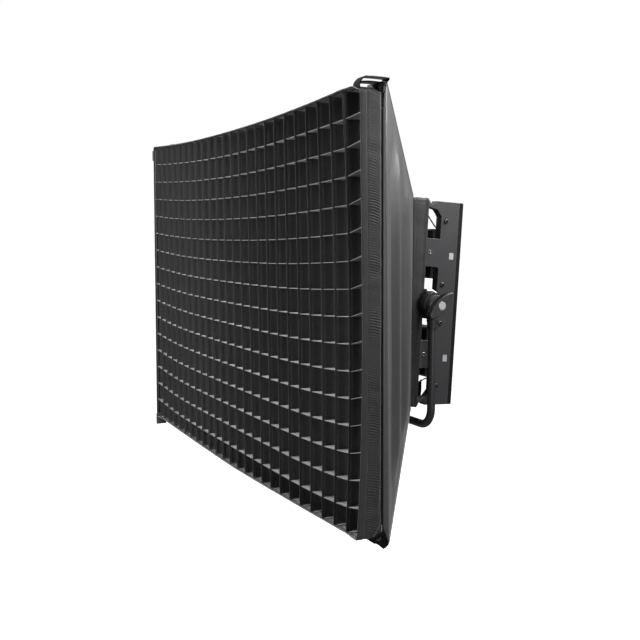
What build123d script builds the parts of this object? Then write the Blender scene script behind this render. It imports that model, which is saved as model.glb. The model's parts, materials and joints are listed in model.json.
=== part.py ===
"""Softbox with a fabric egg-crate grid on an open-frame LED panel head and tube yoke.

Millimetres, +Z up. The light leaves towards -Y. The origin is the mouth of the stand receiver, on its
axis. The head leans back LEAN degrees about the tilt axis, which levels the front of the softbox.
Each function makes one sub-part. Head parts are drawn square to the head, about the middle of the
tilt axis, and placed by on_head(). The bag, sleeve and yoke are drawn about the same point and placed by
level(). The grid and the front frame hang a little lower and are placed by hung().
"""

from build123d import *
from math import cos, radians, sin, tan
import os

# ---- driving dimensions -------------------------------------------------------------------------
LEAN = 3.2  # the head leans back this far, in degrees
PIVOT_Z = 323.0  # tilt axis above the receiver's mouth

CELL = 46.0  # grid cell, square
COLUMNS, ROWS = 25, 16
GRID_W, GRID_H = COLUMNS * CELL, ROWS * CELL
GRID_FRONT, GRID_DEPTH = -266.0, 39.0
HANG = 4.0  # the cloth front hangs this far below the tilt axis
CLOTH = 1.5  # thickness of the fabric walls
SLAT = 0.8  # thickness of one grid slat

BAG_FRONT, BAG_BACK = -216.0, -31.0
COLLAR_REAR = -7.0  # the sleeve's rear edge, square to the head
BAG_W, BAG_H = 1150.0, 762.0  # the bag at its front corners
ROD_BOW_ACROSS, ROD_BOW_UP = 24.0, 12.0  # how far the front rods bow in at their middles
ROD_R = 3.5
ROD_INSET = 8.0  # front rods inside the bag's front edge
ROD_GAP = 2.9  # front rods ahead of the bag's front edge
CORD_R = 1.5
HEM_ROD_R = 2.0  # the thin rods round the grid band
BEHIND_BAND = 11.6  # the corner loop's end ahead of the bag's front edge
ABOVE_BAND = 2 * HEM_ROD_R + 0.4  # webbing outside the band, clear of its rods

HEAD_W, HEAD_H = 730.0, 400.0
PLATE_T, PLATE_SKIN = 18.0, 3.0  # side plates: depth across, and wall
PLATE_BACK, BEVEL, BUMPER_T = 72.0, 5.0, 4.5
HOUSING_FRONT, HOUSING_BACK = -33.0, -9.0
BEZEL_T = 4.0
FIN_BACK = 16.0
CASE_Z = (49.0, 147.0)  # the upper rear case, mirrored below the tilt axis
CASE_FRONT, CASE_BACK, CASE_WALL = 20.0, 66.0, 2.5
COVER_T, PANEL_T = 3.0, 3.0

BOSS_R, BOSS_T = 29.0, 15.0
DISC_R, DISC_T = 24.0, 4.0
STUD_R, STUD_CLEAR = 5.0, 0.08
LUG_R, LUG_T = 23.0, 13.4
TUBE_R, TUBE_WALL = 8.0, 2.0
LEG_X = HEAD_W / 2 + BOSS_T + DISC_T + 0.3 + LUG_T / 2  # middle of a yoke leg
YOKE_DROP = 239.0  # tilt axis down to the middle of the crossbar
YOKE_BEND = 35.0
KNOB_FACE = LEG_X + LUG_T / 2 + 0.5  # inner face of a tilt knob

BORE_R, BORE_DEPTH = 8.1, 60.0  # takes a 16 mm stand pin
RECEIVER_R = 18.0
CROSSBAR_Z = PIVOT_Z - YOKE_DROP
LOCK_Z = 30.0  # height of the lock screw

HEAD_PLANE = Pos(0, 0, PIVOT_Z) * Rot(-LEAN, 0, 0)
LEVEL_PLANE = Pos(0, 0, PIVOT_Z)
HUNG_PLANE = Pos(0, 0, PIVOT_Z - HANG)
BACK = Rot(-90, 0, 0)  # turns a shape drawn along +Z to point along +Y
RIGHT = Rot(0, 90, 0)  # turns a shape drawn along +Z to point along +X

# rear panel layout, about the tilt axis, as (x, z)
PANEL_AT, PANEL_SIZE = (0.0, -98.0), (330.0, 86.0)
DIALS_AT = {"dial_intensity": (52.0, -92.0), "dial_colour": (96.0, -92.0)}
BUTTONS_AT = [(-68.0 + 24.0 * i, -127.0) for i in range(4)]
BUTTON_SIZE = (14.0, 9.0)
ROCKER_AT, ROCKER_SIZE, ROCKER_TIP = (-136.0, -122.0), (14.0, 20.0), 8.0
ROCKER_DEPTH = 1.5  # the rocker's axis behind the panel face
ROCKER_PIN_R, ROCKER_PIN = 0.9, 1.6  # the rocker's pivot pins: radius, and length out of each side
DISPLAY_AT, DISPLAY_SIZE = (-32.0, -88.0), (92.0, 48.0)
INLET_AT, SOCKETS_AT = (-136.0, -80.0), [(142.0, -78.0), (142.0, -116.0)]
PANEL_FACE = CASE_BACK + COVER_T + PANEL_T


# ---- helpers --------------------------------------------------------------------------------------
def block(x, y, z):
    """A box from three (low, high) pairs."""
    size = [b - a for a, b in (x, y, z)]
    middle = [(a + b) / 2 for a, b in (x, y, z)]
    return Pos(*middle) * Box(*size)


def post(radius, low, high, at=(0.0, 0.0)):
    """A cylinder along +Z from low to high."""
    return Pos(at[0], at[1], (low + high) / 2) * Cylinder(radius, high - low)


def pin_y(radius, low, high, at):
    """A cylinder along +Y from low to high, at (x, z)."""
    return Pos(at[0], (low + high) / 2, at[1]) * BACK * Cylinder(radius, high - low)


def pin_x(radius, low, high, at=(0.0, 0.0)):
    """A cylinder along +X from low to high, at (y, z)."""
    return Pos((low + high) / 2, at[0], at[1]) * RIGHT * Cylinder(radius, high - low)


def tube_along(points, radius):
    """A round bar along straight lines between the points, with mitred corners."""
    path = Polyline(*points)
    start = Plane(origin=path @ 0, z_dir=path % 0)
    return sweep(start * Circle(radius), path=path, transition=Transition.RIGHT)


def mirrored(shape):
    """The shape on the other side of the head."""
    return mirror(shape, about=Plane.YZ)


def both(shape):
    return [shape, mirrored(shape)]


def on_head(shapes):
    return [HEAD_PLANE * s for s in as_list(shapes)]


def level(shapes):
    return [LEVEL_PLANE * s for s in as_list(shapes)]


def hung(shapes):
    return [HUNG_PLANE * s for s in as_list(shapes)]


def around(at, radius, count):
    """Points (x, z) evenly spaced on a circle about at."""
    turns = [radians(360.0 * i / count) for i in range(count)]
    return [(at[0] + radius * cos(t), at[1] + radius * sin(t)) for t in turns]


def as_list(shapes):
    return list(shapes) if isinstance(shapes, (list, tuple)) else [shapes]


def frame(outer_w, outer_h, inner_w, inner_h, y, radius=0.0):
    """A rectangular ring between y[0] and y[1], with rounded inner corners if radius is given."""
    ring = block((-outer_w / 2, outer_w / 2), y, (-outer_h / 2, outer_h / 2))
    hole = block((-inner_w / 2, inner_w / 2), (y[0] - 1, y[1] + 1), (-inner_h / 2, inner_h / 2))
    if radius:
        hole = fillet(hole.edges().filter_by(Axis.Y), radius)
    return ring - hole


# ---- grid: band, slats, rods, loops ------------------------------------------------------------------
def grid_band():
    y = (GRID_FRONT, GRID_FRONT + GRID_DEPTH)
    return frame(GRID_W, GRID_H, GRID_W - 2 * CLOTH, GRID_H - 2 * CLOTH, y)


def slat(length, across, slot_from_front):
    """A flat slat in X and Y, halfway slotted where the slats of the other set cross it."""
    front, back = GRID_FRONT + 2, GRID_FRONT + GRID_DEPTH - 1
    middle = (front + back) / 2
    slot_w = SLAT + 0.4
    y = (front - 1, middle + 0.1) if slot_from_front else (middle - 0.1, back + 1)
    outline = Pos(0, (front + back) / 2) * Rectangle(length, back - front)
    for i in range(1, across):
        x = (i - across / 2) * CELL
        outline -= Pos(x, (y[0] + y[1]) / 2) * Rectangle(slot_w, y[1] - y[0])
    return extrude(outline, amount=SLAT / 2, both=True)


def grid_slats_horizontal():
    one = slat(GRID_W - 2 * CLOTH - 0.2, COLUMNS, slot_from_front=False)
    return [Pos(0, 0, (i - ROWS / 2) * CELL) * one for i in range(1, ROWS)]


def grid_slats_vertical():
    one = Rot(0, 90, 0) * slat(GRID_H - 2 * CLOTH - 0.2, ROWS, slot_from_front=True)
    return [Pos((i - COLUMNS / 2) * CELL, 0, 0) * one for i in range(1, COLUMNS)]


def grid_rods():
    """Four thin rods that lie along the outside of the band, in its front hem."""
    y = GRID_FRONT + 5.0
    x, z = (half + HEM_ROD_R + 0.1 for half in (GRID_W / 2, GRID_H / 2))
    side = Pos(x, y, 0) * Cylinder(HEM_ROD_R, GRID_H - 8)
    top = Pos(0, y, z) * RIGHT * Cylinder(HEM_ROD_R, GRID_W - 8)
    return [*both(side), top, mirror(top, about=Plane.XY)]


def corner_loop():
    """The webbing pull loop on the upper right corner: two open bays that lean back."""
    height, fold, t = 20.0, 11.0, 1.2
    x = (GRID_W / 2 - 17.0, GRID_W / 2 - 1.0)
    base = GRID_H / 2 + ABOVE_BAND
    front, back = GRID_FRONT + 1.0, BAG_FRONT - BEHIND_BAND
    rung = height * 0.55
    side = [(front, base), (front, base + rung), (front + fold, base + height), (back, base + height)]
    side += [(back - 4, base + rung), (back - 4, base)]
    outer = make_face(Polyline(*side, close=True))
    inner = offset(outer, amount=-t)
    bar = Pos((front + back) / 2, base + rung) * Rectangle(back - front - 2 * t - 5, t)
    return Pos(x[0], 0, 0) * (Plane.YZ * extrude((outer - inner) + bar, amount=x[1] - x[0]))


def corner_loops():
    """The upper right loop, the hanging lower left tab, and the upper left tab folded to the side."""
    side, t = 28.0, 2.4
    y = (GRID_FRONT - 2.0, GRID_FRONT - 2.0 + side)
    below = -GRID_H / 2 - ABOVE_BAND
    hanging = block((-GRID_W / 2, -GRID_W / 2 + t), y, (below - side * 0.8, below))
    edge = -GRID_W / 2 - ABOVE_BAND
    folded = block((edge - t, edge), y, (GRID_H / 2 - 8 - side, GRID_H / 2 - 8))
    return [corner_loop(), hanging, folded]


def corner_gussets():
    """Webbing corners that tie the grid band to the bag: patches above, hanging triangles below."""
    x, t = BAG_W / 2 + 0.3, 1.5
    top, bottom = BAG_H / 2 - 2, -BAG_H / 2
    front, back = BAG_FRONT - 24, BAG_FRONT + 2
    patch = [(front, top - 20), (back, top - 8), (back, top), (front, top - 9)]
    front, back = BAG_FRONT - 10, BAG_FRONT + 18
    flap = [(front, bottom + 10), (back, bottom - 10), (back - 2, bottom + 16)]
    pieces = [Plane.YZ * extrude(make_face(Polyline(*p, close=True)), amount=t) for p in (patch, flap)]
    return [solid for piece in pieces for solid in both(Pos(x, 0, 0) * piece)]


# ---- bag: shell, collar, rods, joints, diffuser, cords ------------------------------------------------
def collar_half(wall):
    """Half sizes, in X and square to the head, of the collar's outside (wall > 0) or inside."""
    return HEAD_W / 2 + 0.3 + wall, HEAD_H / 2 + 0.3 + wall


def collar_section(wall):
    """The collar's level cut at BAG_BACK: half width, lowest and highest z."""
    half_w, half_h = collar_half(wall)
    rise = -BAG_BACK * tan(radians(LEAN))
    reach = half_h / cos(radians(LEAN))
    return half_w, rise - reach, rise + reach


def bag_solid(wall, front_w, front_h):
    half_w, low, high = collar_section(wall)
    back = Plane.XZ.offset(-BAG_BACK) * Pos(0, (low + high) / 2) * Rectangle(2 * half_w, high - low)
    front = Plane.XZ.offset(-BAG_FRONT) * Pos(0, -HANG) * Rectangle(front_w, front_h)
    return loft([back, front], ruled=True)


def bag_shell():
    inner = bag_solid(0, BAG_W - 2 * CLOTH, BAG_H - 2 * CLOTH)
    return bag_solid(CLOTH, BAG_W, BAG_H) - inner


def bag_collar():
    """The sleeve round the lamp: square to the head behind, cut level where the bag's sides start."""
    outer_w, outer_h = (2 * v for v in collar_half(CLOTH))
    inner_w, inner_h = (2 * v for v in collar_half(0))
    sleeve = Rot(-LEAN, 0, 0) * frame(outer_w, outer_h, inner_w, inner_h, (-60.0, COLLAR_REAR))
    return sleeve - block((-500, 500), (-200, BAG_BACK), (-400, 400))


def rod_y():
    return BAG_FRONT - ROD_GAP - ROD_R


def front_rods():
    """Eight half rods round the front, each pair bowed in towards its snap hinge."""
    half_w, half_h, y = BAG_W / 2 - ROD_INSET, BAG_H / 2 - ROD_INSET, rod_y()

    def half_rod(start, middle_of_side, gap):
        arc = ThreePointArc(start, middle_of_side, (start[0] * gap[0], y, start[2] * gap[1]))
        piece = arc.trim(0.035, 0.482)
        return sweep(Plane(origin=piece @ 0, z_dir=piece % 0) * Circle(ROD_R), path=piece)

    top = half_rod((half_w, y, half_h), (0, y, half_h - ROD_BOW_ACROSS), (-1, 1))
    side = half_rod((half_w, y, half_h), (half_w - ROD_BOW_UP, y, 0), (1, -1))
    rods = [*both(top), *both(side)]
    return rods + [mirror(r, about=Plane.XY) for r in rods]


def snap_hinges():
    """A two-ear sleeve at the middle of each front rod, where the frame folds."""
    y = rod_y()
    sleeve = Cylinder(ROD_R + 1.6, 34) - Cylinder(ROD_R + 0.15, 40)
    x, z = BAG_W / 2 - ROD_INSET - ROD_BOW_UP, BAG_H / 2 - ROD_INSET - ROD_BOW_ACROSS
    side = Pos(x, y, 0) * sleeve
    top = Pos(0, y, z) * RIGHT * sleeve
    return [*both(side), top, mirror(top, about=Plane.XY)]


def corner_joint():
    """An angle piece that takes the ends of two front rods."""
    y, wall = rod_y(), 1.1
    arm, wide = 44.0, 15.0
    corner_x, corner_z = BAG_W / 2 - 1, BAG_H / 2 - 1
    y_span = (y - ROD_R - wall, y + ROD_R + wall)
    along_x = block((corner_x - arm, corner_x), y_span, (corner_z - wide, corner_z))
    along_z = block((corner_x - wide, corner_x), y_span, (corner_z - arm, corner_z))
    inside = (corner_x - wide + 1, corner_z - wide + 1)
    brace = Polyline((corner_x - arm, inside[1]), (inside[0], corner_z - arm), inside, close=True)
    web = extrude(Plane.XZ.offset(-(y + 1)) * make_face(brace), amount=2)
    angle = along_x + along_z + web
    sharp = angle.edges().filter_by(Axis.Y).sort_by(Axis.X)[-2:].sort_by(Axis.Z)[-1]
    return fillet(sharp, 8)


def corner_joints():
    """The four angle pieces, each bored for the two rods that end in it."""
    one = corner_joint()
    grown = [offset(r, 0.15) for r in front_rods()[:1] + front_rods()[2:3]]
    for rod in grown:
        one -= rod
    pair = both(one)
    return pair + [mirror(p, about=Plane.XY) for p in pair]


def spreader_rods():
    """Four rods in the corner seams that push the front frame away from the lamp."""
    _, low, high = collar_section(0)
    x_back, x_front = HEAD_W / 2 + 6, BAG_W / 2 - 22
    z_front = BAG_H / 2 - 18
    rods = []
    for z_back, z_ahead in ((high + 6, z_front - HANG), (low - 6, -z_front - HANG)):
        back, front = (x_back, BAG_BACK - 24, z_back), (x_front, BAG_FRONT + 6, z_ahead)
        rods += both(tube_along([back, front], 2.5))
    return rods


def front_diffuser():
    y = (BAG_FRONT - 1.0, BAG_FRONT)
    return block((-BAG_W / 2 + 1, BAG_W / 2 - 1), y, (-BAG_H / 2 + 1, BAG_H / 2 - 1))


def bag_cords():
    """Elastic cords from the collar's corners to hooks on the rear cases."""
    x = HEAD_W / 2 - PLATE_T - 4
    path = [(x, -5.0, 188.0), (x, 29.0, CASE_Z[1] + CORD_R + 0.6), (x, 40.0, CASE_Z[1] + CORD_R + 0.4)]
    cord = tube_along(path, CORD_R)
    return [*both(cord), *both(mirror(cord, about=Plane.XY))]


# ---- lamp head: housing, optics, heat sink, rear cases --------------------------------------------------
def led_housing():
    half_w = HEAD_W / 2 - PLATE_T
    tray = block((-half_w, half_w), (HOUSING_FRONT, HOUSING_BACK), (-HEAD_H / 2, HEAD_H / 2))
    inside_y = (HOUSING_FRONT - 1, HOUSING_BACK - 3)
    return tray - block((3 - half_w, half_w - 3), inside_y, (3 - HEAD_H / 2, HEAD_H / 2 - 3))


def led_board():
    half_w, half_h = HEAD_W / 2 - PLATE_T - 5, HEAD_H / 2 - 5
    return block((-half_w, half_w), (HOUSING_BACK - 5, HOUSING_BACK - 3), (-half_h, half_h))


def led_chips():
    """A 20 by 10 array of emitters on the board."""
    across, up, pitch = 20, 10, 34.0
    top = HOUSING_BACK - 5  # the board's front face
    chip = block((-4, 4), (top - 1.2, top), (-4, 4))
    return [
        Pos((i - (across - 1) / 2) * pitch, 0, (k - (up - 1) / 2) * pitch) * chip
        for i in range(across)
        for k in range(up)
    ]


def lens_panel():
    half_w, half_h = HEAD_W / 2 - PLATE_T - 3.5, HEAD_H / 2 - 3.5
    return block((-half_w, half_w), (HOUSING_FRONT, HOUSING_FRONT + 3), (-half_h, half_h))


def front_bezel():
    y = (HOUSING_FRONT - BEZEL_T, HOUSING_FRONT)
    return frame(HEAD_W, HEAD_H, HEAD_W - 64, HEAD_H - 36, y, radius=12)


def heat_sink():
    """A base with vertical fins, on the back of the housing."""
    half_w, half_h, fin, pitch = 228.0, 186.0, 2.0, 12.0
    count = int(2 * half_w // pitch)
    depth = FIN_BACK - HOUSING_BACK
    profile = Pos(0, HOUSING_BACK + 2) * Rectangle(2 * half_w, 4)
    for i in range(count + 1):
        profile += Pos((i - count / 2) * pitch, HOUSING_BACK + depth / 2) * Rectangle(fin, depth)
    return extrude(profile, amount=half_h, both=True)


def rear_case():
    """The upper rear case: a full-width tray, open at the back, with vents in its top."""
    half_w, t = HEAD_W / 2 - PLATE_T, CASE_WALL
    case = block((-half_w, half_w), (CASE_FRONT, CASE_BACK), CASE_Z)
    edges = case.faces().sort_by(Axis.Y)[0].edges().filter_by(Axis.X)
    case = chamfer(edges, 4)
    case -= block((t - half_w, half_w - t), (CASE_FRONT + t, CASE_BACK + 1), (CASE_Z[0] + t, CASE_Z[1] - t))
    vent = block((-22, 22), (-1.5, 1.5), (CASE_Z[1] - t - 1, CASE_Z[1] + 1))
    for x in (-250, -150, -50, 50, 150, 250):
        for y in (34.0, 42.0, 50.0):
            case -= Pos(x, y, 0) * vent
    return case


def supply_case():
    return rear_case()


def driver_case():
    return mirror(rear_case(), about=Plane.XY)


def supply_board():
    """Power supply: a board with a transformer block and two rows of capacitors."""
    y = (CASE_FRONT + CASE_WALL + 3, CASE_FRONT + CASE_WALL + 4.6)
    board = block((-180, 180), y, (CASE_Z[0] + 8, CASE_Z[1] - 8))
    board += block((-60, -10), (y[1], y[1] + 26), (75, 122))
    for i in range(5):
        board += pin_y(7, y[1], y[1] + 22, (25 + 20 * i, 84)) + pin_y(7, y[1], y[1] + 22, (25 + 20 * i, 112))
    return board


def driver_board():
    """Control board: a plain board with three processor packages."""
    y = (CASE_FRONT + CASE_WALL + 3, CASE_FRONT + CASE_WALL + 4.6)
    board = block((-180, 180), y, (8 - CASE_Z[1], -CASE_Z[0] - 8))
    for x in (-110, -20, 70):
        board += block((x - 12, x + 12), (y[1], y[1] + 2), (-110, -86))
    return board


def cover_screws_at():
    x, z = HEAD_W / 2 - PLATE_T - 9, (CASE_Z[0] + 7, CASE_Z[1] - 7)
    return [(sx * i, k) for sx in (-1, 1) for k in z for i in (x, x * 0.55)]


def supply_cover():
    """Lid of the upper rear case, with its screw holes."""
    half_w = HEAD_W / 2 - PLATE_T
    y = (CASE_BACK, CASE_BACK + COVER_T)
    lid = block((-half_w, half_w), y, CASE_Z)
    lid = fillet(lid.edges().filter_by(Axis.Y), 3)
    for at in cover_screws_at():
        lid -= pin_y(2.1, y[0] - 1, y[1] + 1, at)
    return lid


def driver_cover():
    """Lid of the lower rear case, holed for everything on the control panel."""
    lid = mirror(supply_cover(), about=Plane.XY)
    return lid - panel_holes(CASE_BACK - 1, CASE_BACK + COVER_T + 1, 1.5)


def cover_screws():
    """Button-head screws, with short shanks through the lids."""
    head, screws = CASE_BACK + COVER_T, []
    for at in cover_screws_at():
        screw = pin_y(4, head, head + 2, at) + pin_y(2, CASE_BACK + 0.2, head, at)
        screws.append(screw - pin_y(1.3, head + 0.8, head + 3, at))
    return screws + [mirror(s, about=Plane.XY) for s in screws]


def panel_holes(low, high, grow):
    """Cutters for everything that passes through the control panel."""
    cut = [pin_y(3.1 + grow / 3, low, high, at) for at in DIALS_AT.values()]
    cut += [slot_cutter(at, BUTTON_SIZE, 0.2 + grow, 0.2 + grow, low, high) for at in BUTTONS_AT]
    cut.append(slot_cutter(ROCKER_AT, ROCKER_SIZE, 0.4 + grow, 0.6 + grow, low, high))
    cut.append(rocker_pins(ROCKER_PIN_R + 0.1, ROCKER_PIN + 0.2))
    cut += [pin_y(r, low, high, at) for at, r in zip([INLET_AT, *SOCKETS_AT], (13.2, 11.2, 11.2))]
    return cut


def slot_cutter(at, size, grow_x, grow_z, low, high):
    x, z = at
    half_w, half_h = size[0] / 2 + grow_x, size[1] / 2 + grow_z
    return block((x - half_w, x + half_w), (low, high), (z - half_h, z + half_h))


def control_panel():
    (x, z), (w, h) = PANEL_AT, PANEL_SIZE
    y = (CASE_BACK + COVER_T, PANEL_FACE)
    plate = block((x - w / 2, x + w / 2), y, (z - h / 2, z + h / 2))
    plate = fillet(plate.edges().filter_by(Axis.Y), 6)
    plate -= panel_holes(y[0] - 1, y[1] + 1, 0.0)
    return plate - slot_cutter(DISPLAY_AT, DISPLAY_SIZE, 0, 0, y[1] - 1.2, y[1] + 1)


def display_window():
    return slot_cutter(DISPLAY_AT, DISPLAY_SIZE, -0.15, -0.15, PANEL_FACE - 1.2, PANEL_FACE - 0.2)


def socket(at, radius, bore, pins):
    """A round panel connector: flanged barrel with contact pins in its bore."""
    barrel = pin_y(radius - 0.2, CASE_BACK - 16, PANEL_FACE, at)
    barrel += pin_y(radius + 2.5, PANEL_FACE, PANEL_FACE + 2, at)
    barrel -= pin_y(bore, CASE_BACK - 8, PANEL_FACE + 3, at)
    for pin_at in around(at, bore * 0.55, pins):
        barrel += pin_y(1.1, CASE_BACK - 9, PANEL_FACE - 3, pin_at)
    return barrel


def power_inlet():
    return socket(INLET_AT, 13.2, 9.5, 3)


def data_sockets():
    return [socket(at, 11.2, 8.5, 5) for at in SOCKETS_AT]


# ---- controls that move --------------------------------------------------------------------------------
def dial(at):
    """A fluted knob on a shaft through the panel."""
    y = PANEL_FACE + 0.4
    body = pin_y(14, y, y + 15, at)
    body = chamfer(body.edges().group_by(Axis.Y)[-1], 1.5)
    for flute in around(at, 14.6, 18):
        body -= pin_y(1.3, y + 3, y + 16, flute)
    return body + pin_y(3, CASE_BACK - 4, y, at)


def menu_button(at):
    (x, z), (w, h) = at, BUTTON_SIZE
    cap = block((x - w / 2, x + w / 2), (CASE_BACK - 1, PANEL_FACE + 2), (z - h / 2, z + h / 2))
    return chamfer(cap.faces().sort_by(Axis.Y)[-1].edges(), 0.6)


def rocker_pins(radius, length):
    """A bar along the rocker's axis, length past each of its sides."""
    (x, z), half = ROCKER_AT, ROCKER_SIZE[0] / 2 + length
    return pin_x(radius, x - half, x + half, (PANEL_FACE - ROCKER_DEPTH, z))


def power_rocker():
    """A rocker with a shallow V face and pivot pins, tipped to off about their axis."""
    (x, z), (w, h) = ROCKER_AT, ROCKER_SIZE
    side = [(-4, 2 - h / 2), (3.5, -h / 2), (2.2, 0), (3.5, h / 2), (-4, h / 2 - 2)]
    rocker = Plane.YZ * extrude(make_face(Polyline(*side, close=True)), amount=w)
    rocker = Pos(x - w / 2, PANEL_FACE - ROCKER_DEPTH, z) * Rot(ROCKER_TIP, 0, 0) * rocker
    return rocker + rocker_pins(ROCKER_PIN_R, ROCKER_PIN)


# ---- side plates and what is on them --------------------------------------------------------------------
CUTOUTS = [(24.0, 73.0), (127.0, 189.0)]  # height above the tilt axis, mirrored below it
CUTOUT_Y = (HOUSING_BACK + 1, 25.7)
CORNER_CUT = 18.0  # the outer cut-outs lose this much of their outer front corner
SCREWS_Y, SCREWS_Z = 37.0, (38.0, 162.0)
EYELET_Y, EYELET_Z, EYELET_R = 4.0, 100.0, 3.0
NOTCH_Y, NOTCH_R = 5.0, 8.0
LABEL_SINK = 0.6  # depth of the labels' recesses
BUMPER_EDGE = 1.5  # bevel on the bumpers' own outer edge
LABEL_Y, LABELS_Z, LABEL_SIZE = 54.0, (94.5, -107.5), (10.0, 13.0)


def cutout(low, high, grow):
    """One side cut-out as a cutter, grown all round; the outer ones have a sloping front corner."""
    inner, out = HEAD_W / 2 - PLATE_T - 1, HEAD_W / 2 + 1
    front, back = CUTOUT_Y[0] - grow, CUTOUT_Y[1] + grow
    slope = CORNER_CUT if low > CUTOUTS[0][1] else 4.0
    outline = [
        (front, low - grow), (back, low - grow), (back, high + grow - slope),
        (back - slope * 0.55, high + grow - slope * 0.3), (front, high + grow),
    ]
    shape = make_face(Polyline(*outline, close=True))
    return Pos(inner, 0, 0) * (Plane.YZ * extrude(shape, amount=out - inner))


def side_plate():
    """The right side plate: a cast cheek, hollow inside, bevelled at the back, with its cut-outs."""
    out, inner, front = HEAD_W / 2, HEAD_W / 2 - PLATE_T, HOUSING_FRONT
    outline = [(inner, front), (out, front), (out, PLATE_BACK - BEVEL), (out - BEVEL, PLATE_BACK)]
    outline.append((inner, PLATE_BACK))
    cheek = extrude(make_face(Polyline(*outline, close=True)), amount=HEAD_H / 2, both=True)
    top = HEAD_H / 2 - PLATE_SKIN
    hollow = block((inner - 1, out - PLATE_SKIN), (front + PLATE_SKIN, PLATE_BACK - BEVEL - 2), (-top, top))
    hollow -= pin_x(STUD_R + 8, inner - 2, out)
    cutters = []
    for low, high in CUTOUTS:
        cutters += both_heights(cutout(low, high, 0.0))
        hollow -= both_heights(cutout(low, high, PLATE_SKIN))
    hollow -= both_heights(pin_x(NOTCH_R + PLATE_SKIN, inner - 2, out, (NOTCH_Y, HEAD_H / 2 + 1)))
    for z in SCREWS_Z:
        hollow -= both_heights(pin_x(6, inner - 2, out, (SCREWS_Y, z)))
        cutters += both_heights(pin_x(2.6, out - 8, out + 1, (SCREWS_Y, z)))
    cutters += both_heights(pin_x(NOTCH_R, inner - 1, out + 1, (NOTCH_Y, HEAD_H / 2 + 1)))
    cutters += both_heights(pin_x(EYELET_R, inner - 1, out + 1, (EYELET_Y, EYELET_Z)))
    cutters += [label_block(z, out - LABEL_SINK, out + 1, 0.0) for z in LABELS_Z]
    return cheek - hollow - cutters - pin_x(STUD_R + STUD_CLEAR, inner - 1, out + 1)


def both_heights(shape):
    """The shape and its mirror image below the tilt axis."""
    return [shape, mirror(shape, about=Plane.XY)]


def side_plate_screws():
    """Button-head screws in the flat of each cheek."""
    out, screws = HEAD_W / 2, []
    for z in (*SCREWS_Z, *(-v for v in SCREWS_Z)):
        head = pin_x(4.5, out, out + 2.6, (SCREWS_Y, z))
        head = fillet(head.edges().sort_by(Axis.X)[-1], 1.6)
        head -= pin_x(1.6, out + 1, out + 3, (SCREWS_Y, z))
        screws += both(head + pin_x(2.5, out - 7.5, out, (SCREWS_Y, z)))
    return screws


def eyelet_rings():
    """Thin metal rings pressed into the small holes at the front of each cheek."""
    out = HEAD_W / 2
    at = (EYELET_Y, EYELET_Z)
    ring = pin_x(EYELET_R - 0.05, out - 6, out, at) + pin_x(4.2, out, out + 0.8, at)
    ring -= pin_x(1.8, out - 7, out + 2, at)
    return [*both(ring), *both(mirror(ring, about=Plane.XY))]


def label_block(z, low, high, gap):
    """A label's block at height z from low to high across the head, smaller all round by the gap."""
    w, h = LABEL_SIZE[0] / 2 - gap, LABEL_SIZE[1] / 2 - gap
    return block((low, high), (LABEL_Y - w, LABEL_Y + w), (z - h, z + h))


def label_plates():
    """Blank plates let into the cheeks."""
    plates, out = [], HEAD_W / 2
    for z in LABELS_Z:
        plates += both(label_block(z, out - LABEL_SINK, out + 0.3, 0.1))
    return plates


def rear_bumpers():
    """Rubber edges that cap the back of each cheek and its bevel."""
    inner, out, back = HEAD_W / 2 - PLATE_T + 1, HEAD_W / 2, PLATE_BACK + BUMPER_T
    outline = [(inner, PLATE_BACK), (out - BEVEL, PLATE_BACK), (out, PLATE_BACK - BEVEL)]
    outline += [(out, back - BUMPER_EDGE), (out - BUMPER_EDGE, back), (inner, back)]
    strip = extrude(make_face(Polyline(*outline, close=True)), amount=HEAD_H / 2, both=True)
    side = block((inner - 1, out + 1), (0, back), (-HEAD_H / 2, HEAD_H / 2))
    side = fillet(side.edges().filter_by(Axis.X).sort_by(Axis.Y)[-2:], BUMPER_T - 0.5)
    return both(strip & side)


def pivot_bosses():
    """Round bosses with a flat on the front, where the softbox sleeve ends."""
    out = HEAD_W / 2
    boss = pin_x(BOSS_R, out, out + BOSS_T)
    boss = fillet(boss.edges().sort_by(Axis.X)[-1], 3) - pin_x(STUD_R + STUD_CLEAR, out - 1, out + BOSS_T + 1)
    boss -= block((out - 1, out + BOSS_T + 1), (-BOSS_R - 1, COLLAR_REAR + 0.3), (-BOSS_R - 1, BOSS_R + 1))
    return both(boss)


def friction_discs():
    """Ribbed friction discs between the bosses and the yoke's lugs."""
    start = HEAD_W / 2 + BOSS_T
    disc = pin_x(DISC_R, start, start + DISC_T)
    disc -= pin_x(DISC_R + 1, start + 1.2, start + 2.6) - pin_x(DISC_R - 2, start, start + 4)
    return both(disc - pin_x(STUD_R + STUD_CLEAR, start - 1, start + DISC_T + 1))


# ---- yoke and stand receiver -------------------------------------------------------------------------
def yoke_tube():
    """One bent tube: two legs and a crossbar."""
    top, low = -30.0, -YOKE_DROP
    outer = [(LEG_X, 0, top), (LEG_X, 0, low), (-LEG_X, 0, low), (-LEG_X, 0, top)]
    path = FilletPolyline(*outer, radius=YOKE_BEND)
    start = Plane(origin=path @ 0, z_dir=path % 0)
    ring = Circle(TUBE_R) - Circle(TUBE_R - TUBE_WALL)
    return sweep(start * ring, path=path)


def yoke_lug():
    """The right-hand lug: a disc on the tilt axis with a socket that the leg is welded into."""
    x = (LEG_X - LUG_T / 2, LEG_X + LUG_T / 2)
    lug = pin_x(LUG_R, *x) + block(x, (-9, 9), (-34, -12))
    lug = lug + post(TUBE_R + 2.5, -46, -27.5, (LEG_X, 0))
    lug -= pin_x(STUD_R + STUD_CLEAR, x[0] - 1, x[1] + 1)
    return lug - post(TUBE_R + 0.05, -50, -29.9, (LEG_X, 0))


def saddle_bolts_at():
    return [(sx * 22.0, sy * 14.0) for sx in (-1, 1) for sy in (-1, 1)]


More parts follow.
